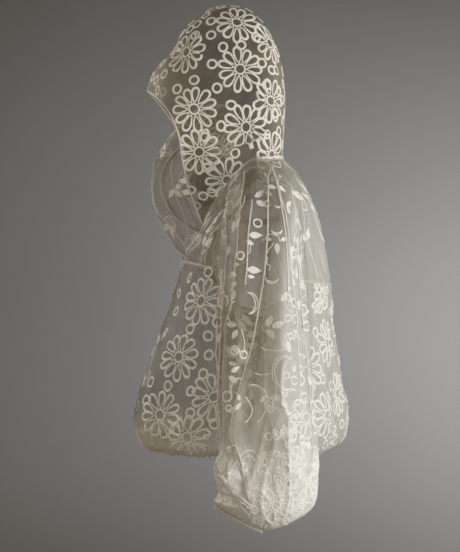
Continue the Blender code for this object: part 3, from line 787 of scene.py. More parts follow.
class Cords:
    # gathers raised cords of thread into one mesh
    def __init__(self):
        self.points = []
        self.faces = []
        self.uvs = []
        self.lines = []

    def add(self, path, widths, height, closed=False):
        # path is a list of (point, normal); each section is a flat lens seen from both sides of the cloth
        count = len(path)
        if count < 3:
            return
        self.lines.append((path, widths, height, closed))
        start = len(self.points)
        length = 0.0
        lengths = []
        for index, (point, normal) in enumerate(path):
            before = path[index - 1][0] if index or closed else point
            after = path[(index + 1) % count][0] if index < count - 1 or closed else point
            along = (after - before).normalized()
            across = normal.cross(along).normalized() * widths[index] / 2
            rise = normal * height / 2
            self.points += [point + across, point + rise, point - across, point - rise]
            if index:
                length += (point - path[index - 1][0]).length
            lengths.append(length)
        for index in range(count if closed else count - 1):
            here = start + index * 4
            there = start + ((index + 1) % count) * 4
            u0 = lengths[index]
            u1 = lengths[index + 1] if index + 1 < count else length + 0.002
            for corner in range(4):
                after = (corner + 1) % 4
                self.faces.append((here + corner, here + after, there + after, there + corner))
                self.uvs += [(u0, corner * 0.001), (u0, corner * 0.001 + 0.001),
                             (u1, corner * 0.001 + 0.001), (u1, corner * 0.001)]
        if not closed:
            last = start + (count - 1) * 4
            self.faces += [(start + 3, start + 2, start + 1, start), (last, last + 1, last + 2, last + 3)]
            self.uvs += [(0, 0), (0, 0.001), (0.001, 0.001), (0.001, 0)] * 2

    def make(self, name, material):
        piece = makePiece(name, self.points, self.faces, self.uvs, material)
        mesh = piece.data
        # each section is round over its crown and sharp at its two edges, as a flat stitched cord is
        ends = np.zeros(len(mesh.edges) * 2, dtype=np.int32)
        mesh.edges.foreach_get("vertices", ends)
        ends = ends.reshape(-1, 2) % 4
        sharp = (ends[:, 0] == ends[:, 1]) & (ends[:, 0] % 2 == 0)
        mesh.attributes.new("sharp_edge", "BOOLEAN", "EDGE").data.foreach_set("value", sharp)
        return piece


eye = Vector((photo["distance"], photo["y"], photo["z"]))

# How far from its panel a motif may be placed, how far one of its points may stand off the cloth, and how far
# past the panel's edge a point may lie, in metres.
laying = {"reach": 0.05, "off": 0.03, "edge": 0.0026}


def castOn(name, px, py):
    # the panel's point and normal that the photograph's camera sees at a pixel
    scale = photo["pxPerMetre"] * photo["distance"]
    way = Vector((-1.0, (px - photo["width"] / 2) / scale, (photo["height"] / 2 - py) / scale)).normalized()
    found, normal, _, _ = trees[name].ray_cast(eye, way)
    return found and (found, normal if normal.x > 0 else -normal)


def seenOn(name, px, py):
    hit = castOn(name, px, py)
    return hit and hit[0]


def pixelOf(point):
    scale = photo["pxPerMetre"] * photo["distance"] / (photo["distance"] - point.x)
    return (photo["width"] / 2 + (point.y - photo["y"]) * scale,
            photo["height"] / 2 - (point.z - photo["z"]) * scale)


def spinOf(turn):
    return cos(radians(turn)), sin(radians(turn))


def patchFacing(name, px, py, turn=0.0, widest=1.4, wide=0.94):
    # a drawing place laid on the cloth at a pixel, widened where the cloth turns away from the camera
    patch = {"name": name, "spin": spinOf(turn)}
    hit = castOn(name, px, py)
    if not hit:
        # a place just off the panel is drawn as the photograph's camera sees it
        patch.update(pixel=(px, py), wide=wide)
        return patch
    point, normal = hit
    upWay = (Vector((0, 0, 1)) - normal * normal.z).normalized()
    sideWay = upWay.cross(normal).normalized()
    if sideWay.y < 0:
        sideWay = -sideWay
    wide *= min(1 / max(sideWay.y, 0.1), widest)
    patch.update(centre=point, normal=normal, x=sideWay * wide, y=upWay)
    return patch


def patchAt(name, near, turn=0.0):
    # a drawing place on a panel: its centre and two ways along the cloth
    found, normal, face, _ = trees[name].find_nearest(Vector(near), laying["reach"])
    if found is None:
        return None
    patch = {"name": name, "spin": spinOf(turn)}
    if name in walks:
        patch["row"], patch["column"] = divmod(face, walks[name]["grid"].shape[1] - 1)
        return patch
    upWay = Vector((0, 0, 1)) - normal * normal.z
    if upWay.length < 1e-4:
        upWay = Vector((0, 1, 0)) - normal * normal.y
    upWay.normalize()
    sideWay = upWay.cross(normal).normalized() * (1 if normal.x > 0 else -1)  # the halves are a mirrored pair
    patch.update(centre=found, normal=normal, x=sideWay, y=upWay)
    return patch


def onCloth(patch, a, b):
    # a drawing point laid on the cloth, or None where it runs off the panel's edge
    turnedCos, turnedSin = patch["spin"]
    a, b = a * turnedCos - b * turnedSin, a * turnedSin + b * turnedCos
    if "pixel" in patch:
        px, py = patch["pixel"]
        scale = photo["sleeveScale"]
        return castOn(patch["name"], px + a * scale * patch["wide"], py - b * scale)
    if "row" in patch:
        return walkTo(walks[patch["name"]], patch["row"] + 0.5, patch["column"] + 0.5, a, b)
    point = patch["centre"] + patch["x"] * a + patch["y"] * b
    found, normal, _, _ = trees[patch["name"]].find_nearest(point, laying["off"])
    if found is None:
        return None
    off = point - found
    if (off - normal * off.dot(normal)).length > laying["edge"]:
        return None
    if normal.dot(patch["normal"]) < 0:
        normal = -normal
    return found, normal


def addRuns(cords, laid, widths, height, closed=False):
    # a line laid on the cloth, broken where it leaves the panel
    if all(laid):
        cords.add(laid, widths, height, closed)
        return
    if closed:
        gap = laid.index(None)
        laid = laid[gap:] + laid[:gap]
        widths = widths[gap:] + widths[:gap]
    run, runWidths = [], []
    for item, width in zip(laid + [None], widths + [0]):
        if item is None:
            cords.add(run, runWidths, height)
            run, runWidths = [], []
        else:
            run.append(item)
            runWidths.append(width)


def drawLine(cords, patch, line, widths, height, closed=False):
    addRuns(cords, [onCloth(patch, a, b) for a, b in line], widths, height, closed)


# A flower of open loops round a ring, about 7 cm across, and the plain rings between the flowers.
daisy = {"petals": 11, "ring": 0.0075, "petalStart": 0.0100, "petalEnd": 0.0335, "petalWidth": 0.0118,
         "thin": 0.0018, "thick": 0.0040, "height": 0.0017, "loop": 18, "ringWidth": 0.0028}
ringShape = {"radius": 0.0066, "width": 0.0034, "height": 0.0017, "points": 18}


def drawRing(cords, patch, seed, radius=ringShape["radius"], width=ringShape["width"]):
    stretch = random.Random(seed).uniform(0.92, 1.08)
    line = []
    for index in range(ringShape["points"]):
        angle = 2 * pi * index / ringShape["points"]
        line.append((radius * cos(angle) * stretch, radius * sin(angle) / stretch))
    drawLine(cords, patch, line, [width] * len(line), ringShape["height"], closed=True)


def drawDaisy(cords, patch, seed, size=1.0):
    draw = random.Random(seed)
    drawRing(cords, patch, seed, daisy["ring"] * size, daisy["ringWidth"] * size)
    for petal in range(daisy["petals"]):
        turn = 2 * pi * (petal + draw.uniform(-0.08, 0.08)) / daisy["petals"]
        end = daisy["petalEnd"] * draw.uniform(0.94, 1.05)
        wide = daisy["petalWidth"] * draw.uniform(0.92, 1.08)
        line, widths = [], []
        for index in range(daisy["loop"]):
            phase = 2 * pi * index / daisy["loop"]
            share = (1 - cos(phase)) / 2
            radial = daisy["petalStart"] + (end - daisy["petalStart"]) * share
            lateral = wide / 2 * sin(phase) * (0.42 + 0.85 * share)
            line.append((size * (radial * cos(turn) - lateral * sin(turn)),
                         size * (radial * sin(turn) + lateral * cos(turn))))
            widths.append(size * (daisy["thin"] + (daisy["thick"] - daisy["thin"]) * share ** 1.2))
        drawLine(cords, patch, line, widths, daisy["height"], closed=True)


def drawMark(cords, patch, kind, seed):
    if patch and kind == "daisy":
        drawDaisy(cords, patch, seed)
    elif patch:
        drawRing(cords, patch, seed)


# Leaves, vines and scrolls of the yokes and the sleeves. The stalk is how far a group's leaves start from its
# middle, and the kinds say in which turn the groups follow each other along a vine.
leafShape = {"length": 0.0205, "width": 0.0086, "height": 0.0006, "edge": 0.0013, "edgeHeight": 0.0015,
             "points": 10, "tip": 0.0005, "stalk": 0.002}
vine = {"stem": 0.0012, "height": 0.0014, "kinds": ("pair", "three", "side", "single", "pair"),
        "scrollWidth": 0.0013, "scrollSweep": 230, "scrollPoints": 22, "points": 91}
leafTurns = {"pair": (38, 142), "three": (15, 90, 165), "side": (-20, 60), "single": (30,)}


def drawLeaf(cords, patch, a, b, turn, size=1.0):
    # a filled leaf with a raised outline and a pointed tip
    spin = radians(turn)
    length, width = leafShape["length"] * size, leafShape["width"] * size
    shares = [index / (leafShape["points"] - 1) for index in range(leafShape["points"])]
    spread = [sin(pi * share ** 0.8) ** 1.25 for share in shares]
    line = [(a + length * share * cos(spin), b + length * share * sin(spin)) for share in shares]
    drawLine(cords, patch, line, [leafShape["tip"] + width * wide for wide in spread], leafShape["height"])
    sides = [(share, wide, 0.5) for share, wide in zip(shares, spread)]
    sides += [(share, wide, -0.5) for share, wide in zip(shares[-2:0:-1], spread[-2:0:-1])]
    outline = []
    for share, wide, way in sides:
        off = width * wide * way
        outline.append((line[0][0] + length * share * cos(spin) - off * sin(spin),
                        line[0][1] + length * share * sin(spin) + off * cos(spin)))
    drawLine(cords, patch, outline, [leafShape["edge"]] * len(outline), leafShape["edgeHeight"], closed=True)


def drawLeafGroup(cords, patch, kind, size):
    for turn in leafTurns[kind]:
        across, up = spinOf(turn)
        drawLeaf(cords, patch, leafShape["stalk"] * across, leafShape["stalk"] * up, turn, size)


def drawScroll(cords, patch, radius, flip):
    # a crescent of two thin lines that meet at its tips
    outer, inner = [], []
    for index in range(vine["scrollPoints"]):
        share = index / (vine["scrollPoints"] - 1)
        angle = radians(vine["scrollSweep"] * (share - 0.5))
        outer.append((radius * cos(angle) * flip, radius * sin(angle)))
        pull = 1 - 0.34 * sin(pi * share)
        inner.append((radius * cos(angle) * flip * pull - 0.002 * flip, radius * sin(angle) * 0.94))
    drawLine(cords, patch, outer, [vine["scrollWidth"]] * len(outer), vine["height"])
    drawLine(cords, patch, inner, [vine["stem"]] * len(inner), vine["height"])


def castBehind(near, far, name):
    # the halves are cut as a pair: the far half's cords stand behind the near half's, on the next cloth that
    # a ray from the camera meets
    for path, widths, height, closed in near.lines:
        laid, wider = [], []
        for (point, _), width in zip(path, widths):
            way = (point - eye).normalized()
            found, normal, _, _ = trees[name].ray_cast(point + way * 0.004, way)
            laid.append(found and (found, normal))
            wider.append(width * ((found - eye).length / (point - eye).length if found else 1))
        addRuns(far, laid, wider, height, closed)


hoodPattern = {
    "daisies": (
        (237, 22), (186, 52), (240, 69), (194, 109), (271, 101), (246, 127), (199, 152), (227, 180),
        (270, 43), (272, 155),
    ),
    "rings": (
        (211, 35), (211, 21), (195, 35), (197, 24), (164, 74), (177, 89), (194, 80), (217, 88), (212, 64),
        (223, 47), (241, 45), (262, 63), (272, 70), (267, 85), (231, 105), (221, 126), (205, 137),
        (235, 153), (207, 168), (268, 134), (279, 91), (276, 113), (279, 131), (203, 196), (212, 193),
        (206, 15), (190, 29), (256, 37), (282, 100), (277, 70),
    ),
    "turn": 17,  # degrees from one flower to the next
    # rings fill the cloth between two distances from the middle, this far at least from other cords
    "seamGap": 0.011, "turned": 0.050, "bare": 0.0135,
}
embroidery = {}


def fillBare(cords, name):
    # plain rings in the bare cloth beside the centre seam, where it turns away from the photograph's side
    sewn = np.array([point for path, _, _, _ in cords.lines for point, _ in path])
    # every second point of the grid, clear of the panel's edges
    spots = [spot for line in grids[name][8:-2:2] for spot in line[4:-2:2]
             if hoodPattern["seamGap"] < abs(spot.x) < hoodPattern["turned"]]
    random.Random(5).shuffle(spots)
    for index, spot in enumerate(spots):
        if np.linalg.norm(sewn - np.array(spot), axis=1).min() > hoodPattern["bare"]:
            drawRing(cords, patchAt(name, spot), 600 + index)
            sewn = np.concatenate([sewn, [tuple(point) for point, _ in cords.lines[-1][0]]])


near, far = Cords(), Cords()
for kind, places, turn, seed in (("daisy", hoodPattern["daisies"], hoodPattern["turn"], 10),
                                 ("ring", hoodPattern["rings"], 0, 40)):
    for index, (px, py) in enumerate(places):
        spot = seenOn("hoodLeft", px, py)
        drawMark(near, spot and patchAt("hoodLeft", spot, turn * index), kind, seed + index)
castBehind(near, far, "hoodRight")
fillBare(near, "hoodLeft")
fillBare(far, "hoodRight")
embroidery["hoodLeft"] = near.make("hoodLeftEmbroidery", corded)
embroidery["hoodRight"] = far.make("hoodRightEmbroidery", corded)
print("hood embroidered")

# The front's flowers and rings: the ones that show, by the photograph's pixels, then a net of them, 9 cm
# apart, where the sleeve hides the panel.
frontPattern = {
    "daisies": ((201, 301), (179, 357), (160, 415), (214, 397), (187, 438)),
    "rings": (
        (190, 278), (208, 272), (179, 293), (176, 311), (190, 329), (166, 333), (208, 336), (209, 355),
        (203, 374), (168, 386), (190, 391), (190, 413), (214, 424), (217, 322), (172, 276), (151, 382),
        (146, 400),
    ),
    "shown": 219,  # the sleeve hides what lies beyond this pixel column
    "middle": 0.120,  # the cloth within this width of the closure turns away from the camera
    "widest": 1.35,  # what turns away from the camera is drawn at most this much wider than it is high
    # where the nets start, across and down, and the least distance of each kind to what is there
    "hidden": {"start": (0.030, 0.045), "daisy": 0.080, "ring": 0.046},
    "turned": {"start": (0.036, 0.060), "daisy": 0.060, "ring": 0.036},
    "back": {"start": (0.040, 0.040)},
}
net = {"stepA": (-0.030, -0.088), "stepB": (0.052, -0.060), "turn": 13, "reach": range(-12, 13)}


def gridSpot(points, across, down):
    # the place on a panel at flat distances across and down from its first corner
    line = points[min(int(down * (len(points) - 1)), len(points) - 1)]
    return line[min(int(across * (len(line) - 1)), len(line) - 1)]


def netMarks(width, length, start):
    # flowers on the net, and two rings in each of its cells
    marks = []
    third = [(net["stepA"][axis] + net["stepB"][axis]) / 3 for axis in range(2)]
    for kind, shift in (("daisy", 0), ("ring", 1), ("ring", 2)):
        for i in net["reach"]:
            for j in net["reach"]:
                a = start[0] + shift * third[0] + i * net["stepA"][0] + j * net["stepB"][0]
                b = start[1] - shift * third[1] - i * net["stepA"][1] - j * net["stepB"][1]
                if 0 <= a <= width and 0 <= b <= length:
                    marks.append((a, b, kind))
    return marks


def flatSpots(name, start, keep=lambda spot: True):
    points = grids[name]
    flat = flatPlaces(points)
    width, length = flat[0][-1][0], flat[-1][0][1]
    spots = [(gridSpot(points, a / width, b / length), kind) for a, b, kind in netMarks(width, length, start)]
    return [(spot, kind) for spot, kind in spots if keep(spot)]


def clear(spot, others, least):
    return min((spot - other).length for other in others) > least


near, far, back = Cords(), Cords(), Cords()
frontSpots = []
for kind, places in (("daisy", frontPattern["daisies"]), ("ring", frontPattern["rings"])):
    for px, py in places:
        spot = seenOn("frontLeft", px, py)
        if spot:
            patch = patchFacing("frontLeft", px, py, net["turn"] * len(frontSpots), frontPattern["widest"])
            drawMark(near, patch, kind, 100 + len(frontSpots))
            frontSpots.append((spot, kind))
shown = [spot for spot, kind in frontSpots if kind == "daisy"]
hidden, turned = frontPattern["hidden"], frontPattern["turned"]
spots = flatSpots("frontLeft", hidden["start"], lambda spot: pixelOf(spot)[0] > frontPattern["shown"])
for spot, kind in spots:
    if clear(spot, shown, hidden[kind]):
        drawMark(near, patchAt("frontLeft", spot, net["turn"] * len(frontSpots)), kind, 100 + len(frontSpots))
        frontSpots.append((spot, kind))
castBehind(near, far, "frontRight")
taken = [spot for spot, _ in frontSpots]
spots = flatSpots("frontLeft", turned["start"], lambda spot: spot.x < frontPattern["middle"])
for index, (spot, kind) in enumerate(spots):
    if clear(spot, taken, turned[kind]):
        for cords, name, side in ((near, "frontLeft", 1), (far, "frontRight", -1)):
            patch = patchAt(name, Vector((side * spot.x, spot.y, spot.z)), net["turn"] * index)
            drawMark(cords, patch, kind, 150 + index)
for index, (spot, kind) in enumerate(flatSpots("backPanel", frontPattern["back"]["start"])):
    drawMark(back, patchAt("backPanel", spot, net["turn"] * index), kind, 100 + index)
for name, cords in (("frontLeft", near), ("frontRight", far), ("backPanel", back)):
    embroidery[name] = cords.make(name + "Embroidery", corded)
print("body embroidered")


def drawVine(cords, name, line, seed, leafStep=9, scrollStep=31):
    # a thin stem along a line of rows and columns, with leaves in twos and threes and scrolls between them
    draw = random.Random(seed)
    laid = [walkTo(walks[name], row, column, 0.0, 0.0) for row, column in line]
    cords.add(laid, [vine["stem"]] * len(laid), vine["height"])
    for index in range(leafStep // 2, len(line) - 3, leafStep):
        row, column = line[index]
        patch = {"name": name, "row": row, "column": column, "spin": spinOf(draw.uniform(-75, 75))}
        kind = vine["kinds"][(index + seed) % len(vine["kinds"])]
        drawLeafGroup(cords, patch, kind, draw.uniform(0.85, 1.1))
        if index % scrollStep < leafStep:
            drawScroll(cords, patch, draw.uniform(0.011, 0.017), draw.choice((-1, 1)))


def vineOnSleeve(cords, word, startTurn, endTurn, seed, bottom=0.72, leafStep=9):
    top, wobble = 0.05, 9  # where the vine starts along the sleeve and how far it sways, in degrees
    line = []
    for share in steps(vine["points"] - 1):
        turn = startTurn + (endTurn - startTurn) * share + wobble * sin(2 * pi * (share * 3.1 + seed * 0.37))
        line.append(((top + (bottom - top) * share) * sleeve["rings"], turn / 360 * sleeve["around"]))
    drawVine(cords, "sleeve" + word, line, seed, leafStep)


sleevePattern = {
    # px and py of each leaf's stalk on the near sleeve, its direction as seen, 0 to the right and 90 up, and
    # its size
    "leaves": (
        (249, 235, 0, 0.95), (246, 241, -20, 0.6), (247, 269, -8, 1.0), (248, 276, -12, 0.45),
        (277, 243, -90, 0.8), (271, 240, 160, 0.5), (281, 240, 15, 0.5), (281, 301, 48, 0.85),
        (267, 327, 72, 0.85), (272, 327, 22, 0.95), (267, 329, -52, 0.8), (255, 197, 35, 0.85),
        (256, 201, -30, 0.85), (276, 188, 150, 0.75), (277, 184, -40, 0.75), (268, 396, 215, 0.7),
        (270, 396, -20, 0.75), (281, 399, -50, 0.9), (283, 411, -18, 0.7), (272, 429, -48, 0.8),
        (282, 427, -80, 1.0), (236, 325, 175, 0.8), (237, 330, -120, 0.7), (240, 352, 150, 0.8),
        (231, 372, 30, 0.7), (229, 376, -40, 0.7), (236, 276, 160, 0.8), (236, 282, -140, 0.8),
        (232, 300, 80, 0.7), (240, 215, -110, 0.9), (233, 232, 100, 0.8), (229, 246, -100, 0.8),
        (294, 236, -80, 0.8), (291, 256, 70, 0.8), (297, 250, 60, 0.7), (297, 278, 85, 0.8),
        (295, 330, -60, 0.8), (299, 300, -100, 0.7), (290, 352, 100, 0.8), (293, 372, 60, 0.8),
        (228, 412, 30, 0.7), (240, 400, 120, 0.6), (290, 214, 100, 0.7), (287, 206, 30, 0.7),
        (262, 452, -40, 0.9), (284, 460, -35, 1.0), (276, 478, -70, 0.9), (262, 486, 200, 0.8),
        (292, 470, 60, 0.8), (247, 497, 20, 0.8), (221, 462, -60, 0.8), (229, 470, -30, 0.9),
        (236, 484, -60, 0.8), (222, 488, -30, 0.8),
    ),
    # centre px and py of each crescent or stem, its radius in mm, the angle where it starts and its sweep,
    # single or double
    "arcs": (
        (272, 276, 10, 185, 150, 2), (247, 303, 15, -85, 170, 2), (284, 373, 22, 55, 235, 2),
        (275, 316, 46, 245, 75, 1), (251, 404, 25, -75, 175, 1), (238, 410, 20, -60, 120, 1),
        (249, 461, 14, -40, 300, 1), (249, 462, 8, 0, 280, 1), (274, 463, 16, 60, 190, 2),
        (284, 470, 22, 20, 110, 2), (277, 228, 9, 200, 150, 2), (272, 244, 14, 20, 140, 1),
        (268, 172, 20, -25, 60, 1), (285, 262, 34, 120, 80, 1), (229, 250, 30, -50, 80, 1),
        (228, 345, 30, -40, 90, 1), (297, 268, 14, 90, 180, 2), (238, 388, 13, 60, 170, 2),
        (234, 312, 14, 80, 170, 2), (300, 345, 14, 100, 200, 2), (292, 398, 12, 40, 200, 2),
        (262, 352, 30, 240, 60, 1), (232, 205, 24, -40, 80, 1), (224, 300, 12, 90, 180, 2),
        (291, 300, 16, 150, 120, 1), (264, 500, 14, 30, 150, 2), (240, 470, 12, 100, 170, 2),
    ),
    "daisies": ((303, 462), (276, 506), (306, 418)),
    # left, top, right and bottom px of an area and how many small motifs crowd it
    "crowded": (
        (284, 425, 313, 505, 26), (252, 494, 304, 524, 24), (286, 240, 301, 425, 24),
        (214, 452, 246, 500, 8), (262, 440, 286, 494, 10), (224, 200, 246, 420, 12),
        (262, 385, 284, 440, 7), (256, 190, 290, 235, 4),
    ),
    "rings": (
        (292, 436), (301, 440), (303, 495), (289, 486), (290, 516), (226, 500), (258, 521), (300, 508),
        (221, 480), (304, 398), (300, 380), (306, 362), (303, 310), (307, 326), (296, 452), (262, 470),
        (233, 502),
    ),
}


def drawArc(cords, patch, radius, start, sweep, lines):
    # a stem or crescent on the near sleeve, with its angles as seen from the side
    for line in range(lines):
        drawn = []
        for share in steps(25):
            angle = radians(start + sweep * share)
            pull = 1 - line * 0.24 * sin(pi * share)
            drawn.append((radius * pull * cos(angle), radius * pull * sin(angle)))
        drawLine(cords, patch, drawn, [vine["stem"] * 1.2] * len(drawn), vine["height"])


cords = Cords()
for px, py, way, size in sleevePattern["leaves"]:
    drawLeaf(cords, patchFacing("sleeveLeft", px, py), 0.0, 0.0, way, size)
for px, py, radius, start, sweep, lines in sleevePattern["arcs"]:
    drawArc(cords, patchFacing("sleeveLeft", px, py), radius / 1000, start, sweep, lines)
for index, (px, py) in enumerate(sleevePattern["daisies"]):
    drawDaisy(cords, patchFacing("sleeveLeft", px, py, 23 * index), 400 + index, 0.85)
for index, (px, py) in enumerate(sleevePattern["rings"]):
    drawRing(cords, patchFacing("sleeveLeft", px, py), 430 + index)
draw = random.Random(7)
for left, top, right, bottom, count in sleevePattern["crowded"]:
    # small loops, leaves and crescents that fill the cloth between the larger ones
    for index in range(count):
        px, py = draw.uniform(left, right), draw.uniform(top, bottom)
        patch = patchFacing("sleeveLeft", px, py, draw.uniform(0, 360), wide=draw.uniform(0.75, 1.0))
        if index % 2 == 0:
            drawRing(cords, patch, index, draw.uniform(0.0036, 0.0066), 0.0024)
        elif index % 4 == 1:
            drawLeaf(cords, patch, 0.0, 0.0, 0.0, draw.uniform(0.4, 0.8))
        else:
            drawArc(cords, patch, draw.uniform(0.005, 0.010), 0, draw.uniform(140, 280), 2)
for startTurn, endTurn, seed in ((150, 165, 1), (-70, -80, 2), (-108, -116, 3), (195, 205, 4), (108, 122, 6)):
    vineOnSleeve(cords, "Left", startTurn, endTurn, seed)
for index, turn in enumerate((115, 165, 215, 265)):
    for row, along in enumerate((0.70, 0.80)):
        patch = patchAt("sleeveLeft", sleevePoint("left", along, turn + 25 * row), turn=29 * index)
        if patch:
            drawDaisy(cords, patch, 460 + index + 10 * row, 0.92)
embroidery["sleeveLeft"] = cords.make("sleeveLeftEmbroidery", corded)

cords = Cords()
for startTurn, endTurn, seed in ((20, 30, 11), (110, 115, 12), (205, 200, 15)):
    vineOnSleeve(cords, "Right", startTurn, endTurn, seed, bottom=0.74, leafStep=16)
for index, turn in enumerate((20, 80, 140, 200, 260, 320)):
    patch = patchAt("sleeveRight", sleevePoint("right", 0.84, turn), turn=29 * index)
    if patch:
        drawDaisy(cords, patch, 480 + index, 0.85)
embroidery["sleeveRight"] = cords.make("sleeveRightEmbroidery", corded)
print("sleeves embroidered")


def vinesOnPanel(name, seed, count):
    # vines that run down a yoke
    rows, columns = walks[name]["grid"].shape[:2]
    cords = Cords()
    for stem in range(count):
        line = []
        for index in range(60):
            down = 0.03 + 0.94 * index / 59  # clear of the seams above and below
            across = (stem + 0.5) / count + 0.05 * sin(2 * pi * (down * 2.2 + stem * 0.3))
            line.append((down * (rows - 1), min(max(across, 0.02), 0.98) * (columns - 1)))
        drawVine(cords, name, line, seed * 10 + stem, 14, 28)
    embroidery[name] = cords.make(name + "Embroidery", corded)


vinesOnPanel("frontYokeLeft", 21, 2)
vinesOnPanel("frontYokeRight", 22, 2)
vinesOnPanel("backYoke", 23, 5)
print("yokes embroidered")

# The folds that are pressed into the sleeves, seen as thin bright lines; their near-white colour is partly
# the pressed layers, partly a painted highlight.
creases = {
    "width": {"left": 0.0018, "right": 0.0012}, "height": 0.0012, "proud": 0.0012, "points": 90,
    # the flap above the near wrist and two thin folds, by their pixels
    "seen": (
        ((236, 445), (226, 448), (216, 454), (214, 461), (218, 473), (228, 486), (240, 497), (250, 505)),
        ((236, 446), (240, 458), (243, 470), (246, 485), (249, 497), (250, 505)),
        ((252, 200), (250, 218), (248, 235), (247, 262), (245, 285)),
        ((274, 168), (276, 182), (281, 205), (285, 232), (287, 262), (288, 300)),
    ),
    "seenPoints": 40,
}


def foldEdge(turn, middle, halfWidth, overlap):
    # where the cloth at an angle across a laid-over fold comes to lie
    off = (turn - middle) / halfWidth
    return turn - overlap * sin(pi * off) * max(1 - off ** 2, 0) ** 0.5


for name, word in (("left", "Left"), ("right", "Right")):
    pressed = Cords()
    for halfWidth, overlap, height, line in sleeve["laidFolds"][name]:
        path = []
        for index in range(creases["points"]):
            along = line[0][0] + (line[-1][0] - line[0][0]) * index / (creases["points"] - 1)
            middle = lineAt(line, along)
            sign = 1 if height > 0 else -1
            # the crease follows the fold's outermost line
            tries = [middle - sign * halfWidth * share for share in steps(30)]
            edge = max(tries, key=lambda turn: sign * foldEdge(turn, middle, halfWidth, overlap))
            point = sleevePoint(name, along, edge)
            out = (point - sleevePoint(name, along, edge + 180)).normalized()
            path.append((point + out * creases["proud"], out))
        pressed.add(path, [creases["width"][name]] * len(path), creases["height"])
    for line in creases["seen"] if name == "left" else ():
        path = []
        for share in steps(creases["seenPoints"] - 1):
            px, py = (between(line, axis, share * (len(line) - 1)) for axis in range(2))
            hit = castOn("sleeveLeft", px, py)
            if hit:
                path.append((hit[0] + hit[1] * creases["proud"], hit[1]))
        pressed.add(path, [creases["width"][name]] * len(path), creases["height"])
    embroidery["creases" + word] = pressed.make("sleeve" + word + "Creases", pressedOrganzaAndHighlight)

# Seams, the hood's rolled edge, the hem band and the cuffs.
trim = {
    "seamWidth": 0.0040, "seamHeight": 0.0012, "closureWidth": 0.003,
    "sideFrom": 16, "shoulderTo": 19,  # the rows where the side seam starts and the shoulder seam ends
    "rollWidth": 0.0026, "rollHeight": 0.0024, "hoodSeamWidth": 0.0064, "hoodSeamHeight": 0.0020,
    "neckFrom": -0.012, "neckWidth": 0.0058, "neckLeast": 0.002, "neckHeight": 0.0036, "neckProud": 0.0015,
    # a folded band's section: share of its drop and stand off its middle
    "bandProfile": (
        (0.0, 0.0), (0.15, 0.0011), (0.5, 0.0016), (0.85, 0.0011), (1.0, 0.0), (0.85, -0.0011),
        (0.5, -0.0014), (0.15, -0.0011), (0.0, 0.0),
    ),
    "hem": {"gap": 0.0008, "drop": 0.0060, "waves": 96, "wave": 0.0005, "points": 720},
    "cuff": {"gap": 0.0006, "drop": 0.0050, "waves": 40, "wave": 0.0004, "points": 320},
}


def ways(points):
    # the way along a line at each of its points
    found = []
    for index in range(len(points)):
        way = points[min(index + 1, len(points) - 1)] - points[max(index - 1, 0)]
        found.append(way.normalized() if way.length > 1e-6 else Vector((0, 0, 1)))
    return found


def seamCord(cords, line, tree, width=trim["seamWidth"], height=trim["seamHeight"], closed=False):
    path = [(Vector(point), tree.find_nearest(point)[1]) for point in line]
    cords.add(path, [width] * len(path), height, closed)


seams = Cords()
for word in ("Left", "Right"):
    yoke, lower = grids["frontYoke" + word], grids["front" + word]
    seamCord(seams, lower[0], trees["front" + word])  # yoke
    seamCord(seams, [line[-1] for line in lower[trim["sideFrom"]:]], trees["front" + word])
    seamCord(seams, [line[-1] for line in yoke[:trim["shoulderTo"]]], trees["frontYoke" + word])
    seamCord(seams, grids["sleeve" + word][0], trees["sleeve" + word], closed=True)  # armhole
    seamCord(seams, grids["hood" + word][0], trees["hood" + word])  # neck
    seamCord(seams, [line[0] for line in yoke + lower], trees["front" + word], trim["closureWidth"])
seamCord(seams, grids["backPanel"][0], trees["backPanel"])
seamPiece = seams.make("seams", doubledOrganza)

# the hood's lower edge rolls over the seam round the back of the neck
neckRoll = Cords()
rolled = [point for point in grids["hoodLeft"][0] + grids["hoodRight"][0][::-1] if point.y > trim["neckFrom"]]
neckPath = []
for point, way in zip(rolled, ways(rolled)):
    out = Vector((0, 0, 1)).cross(way).normalized()
    out = out if out.dot(point - Vector((0, -0.03, point.z))) > 0 else -out
    neckPath.append((point + out * trim["neckProud"] - Vector((0, 0, trim["neckProud"])), out))
grow = [ease(min(index, len(rolled) - 1 - index) / 12) for index in range(len(rolled))]
uneven = [0.8 + 0.5 * noise.noise(point * 90) for point, _ in neckPath]
widths = [trim["neckLeast"] + trim["neckWidth"] * share * part for share, part in zip(grow, uneven)]
neckRoll.add(neckPath, widths, trim["neckHeight"])
neckRollPiece = neckRoll.make("neckRoll", pressedOrganzaAndHighlight)

hoodSeam = Cords()
centre = [Vector((0, line[-1].y, line[-1].z)) for line in grids["hoodLeft"]]
centre += [Vector((0, point.y, point.z)) for point in grids["hoodLeft"][-1][::-1]]
path = [(point, way.cross(Vector((1, 0, 0))).normalized()) for point, way in zip(centre, ways(centre))]
hoodSeam.add(path, [trim["hoodSeamWidth"]] * len(path), trim["hoodSeamHeight"])
hoodSeamPiece = hoodSeam.make("hoodSeam", pressedOrganzaAndHighlight)

roll = Cords()
for word in ("Left", "Right"):
    edge = [line[0] for line in grids["hood" + word]]
    seamCord(roll, edge, trees["hood" + word], trim["rollWidth"], trim["rollHeight"])
rollPiece = roll.make("hoodRolledEdge", pressedOrganzaAndHighlight)


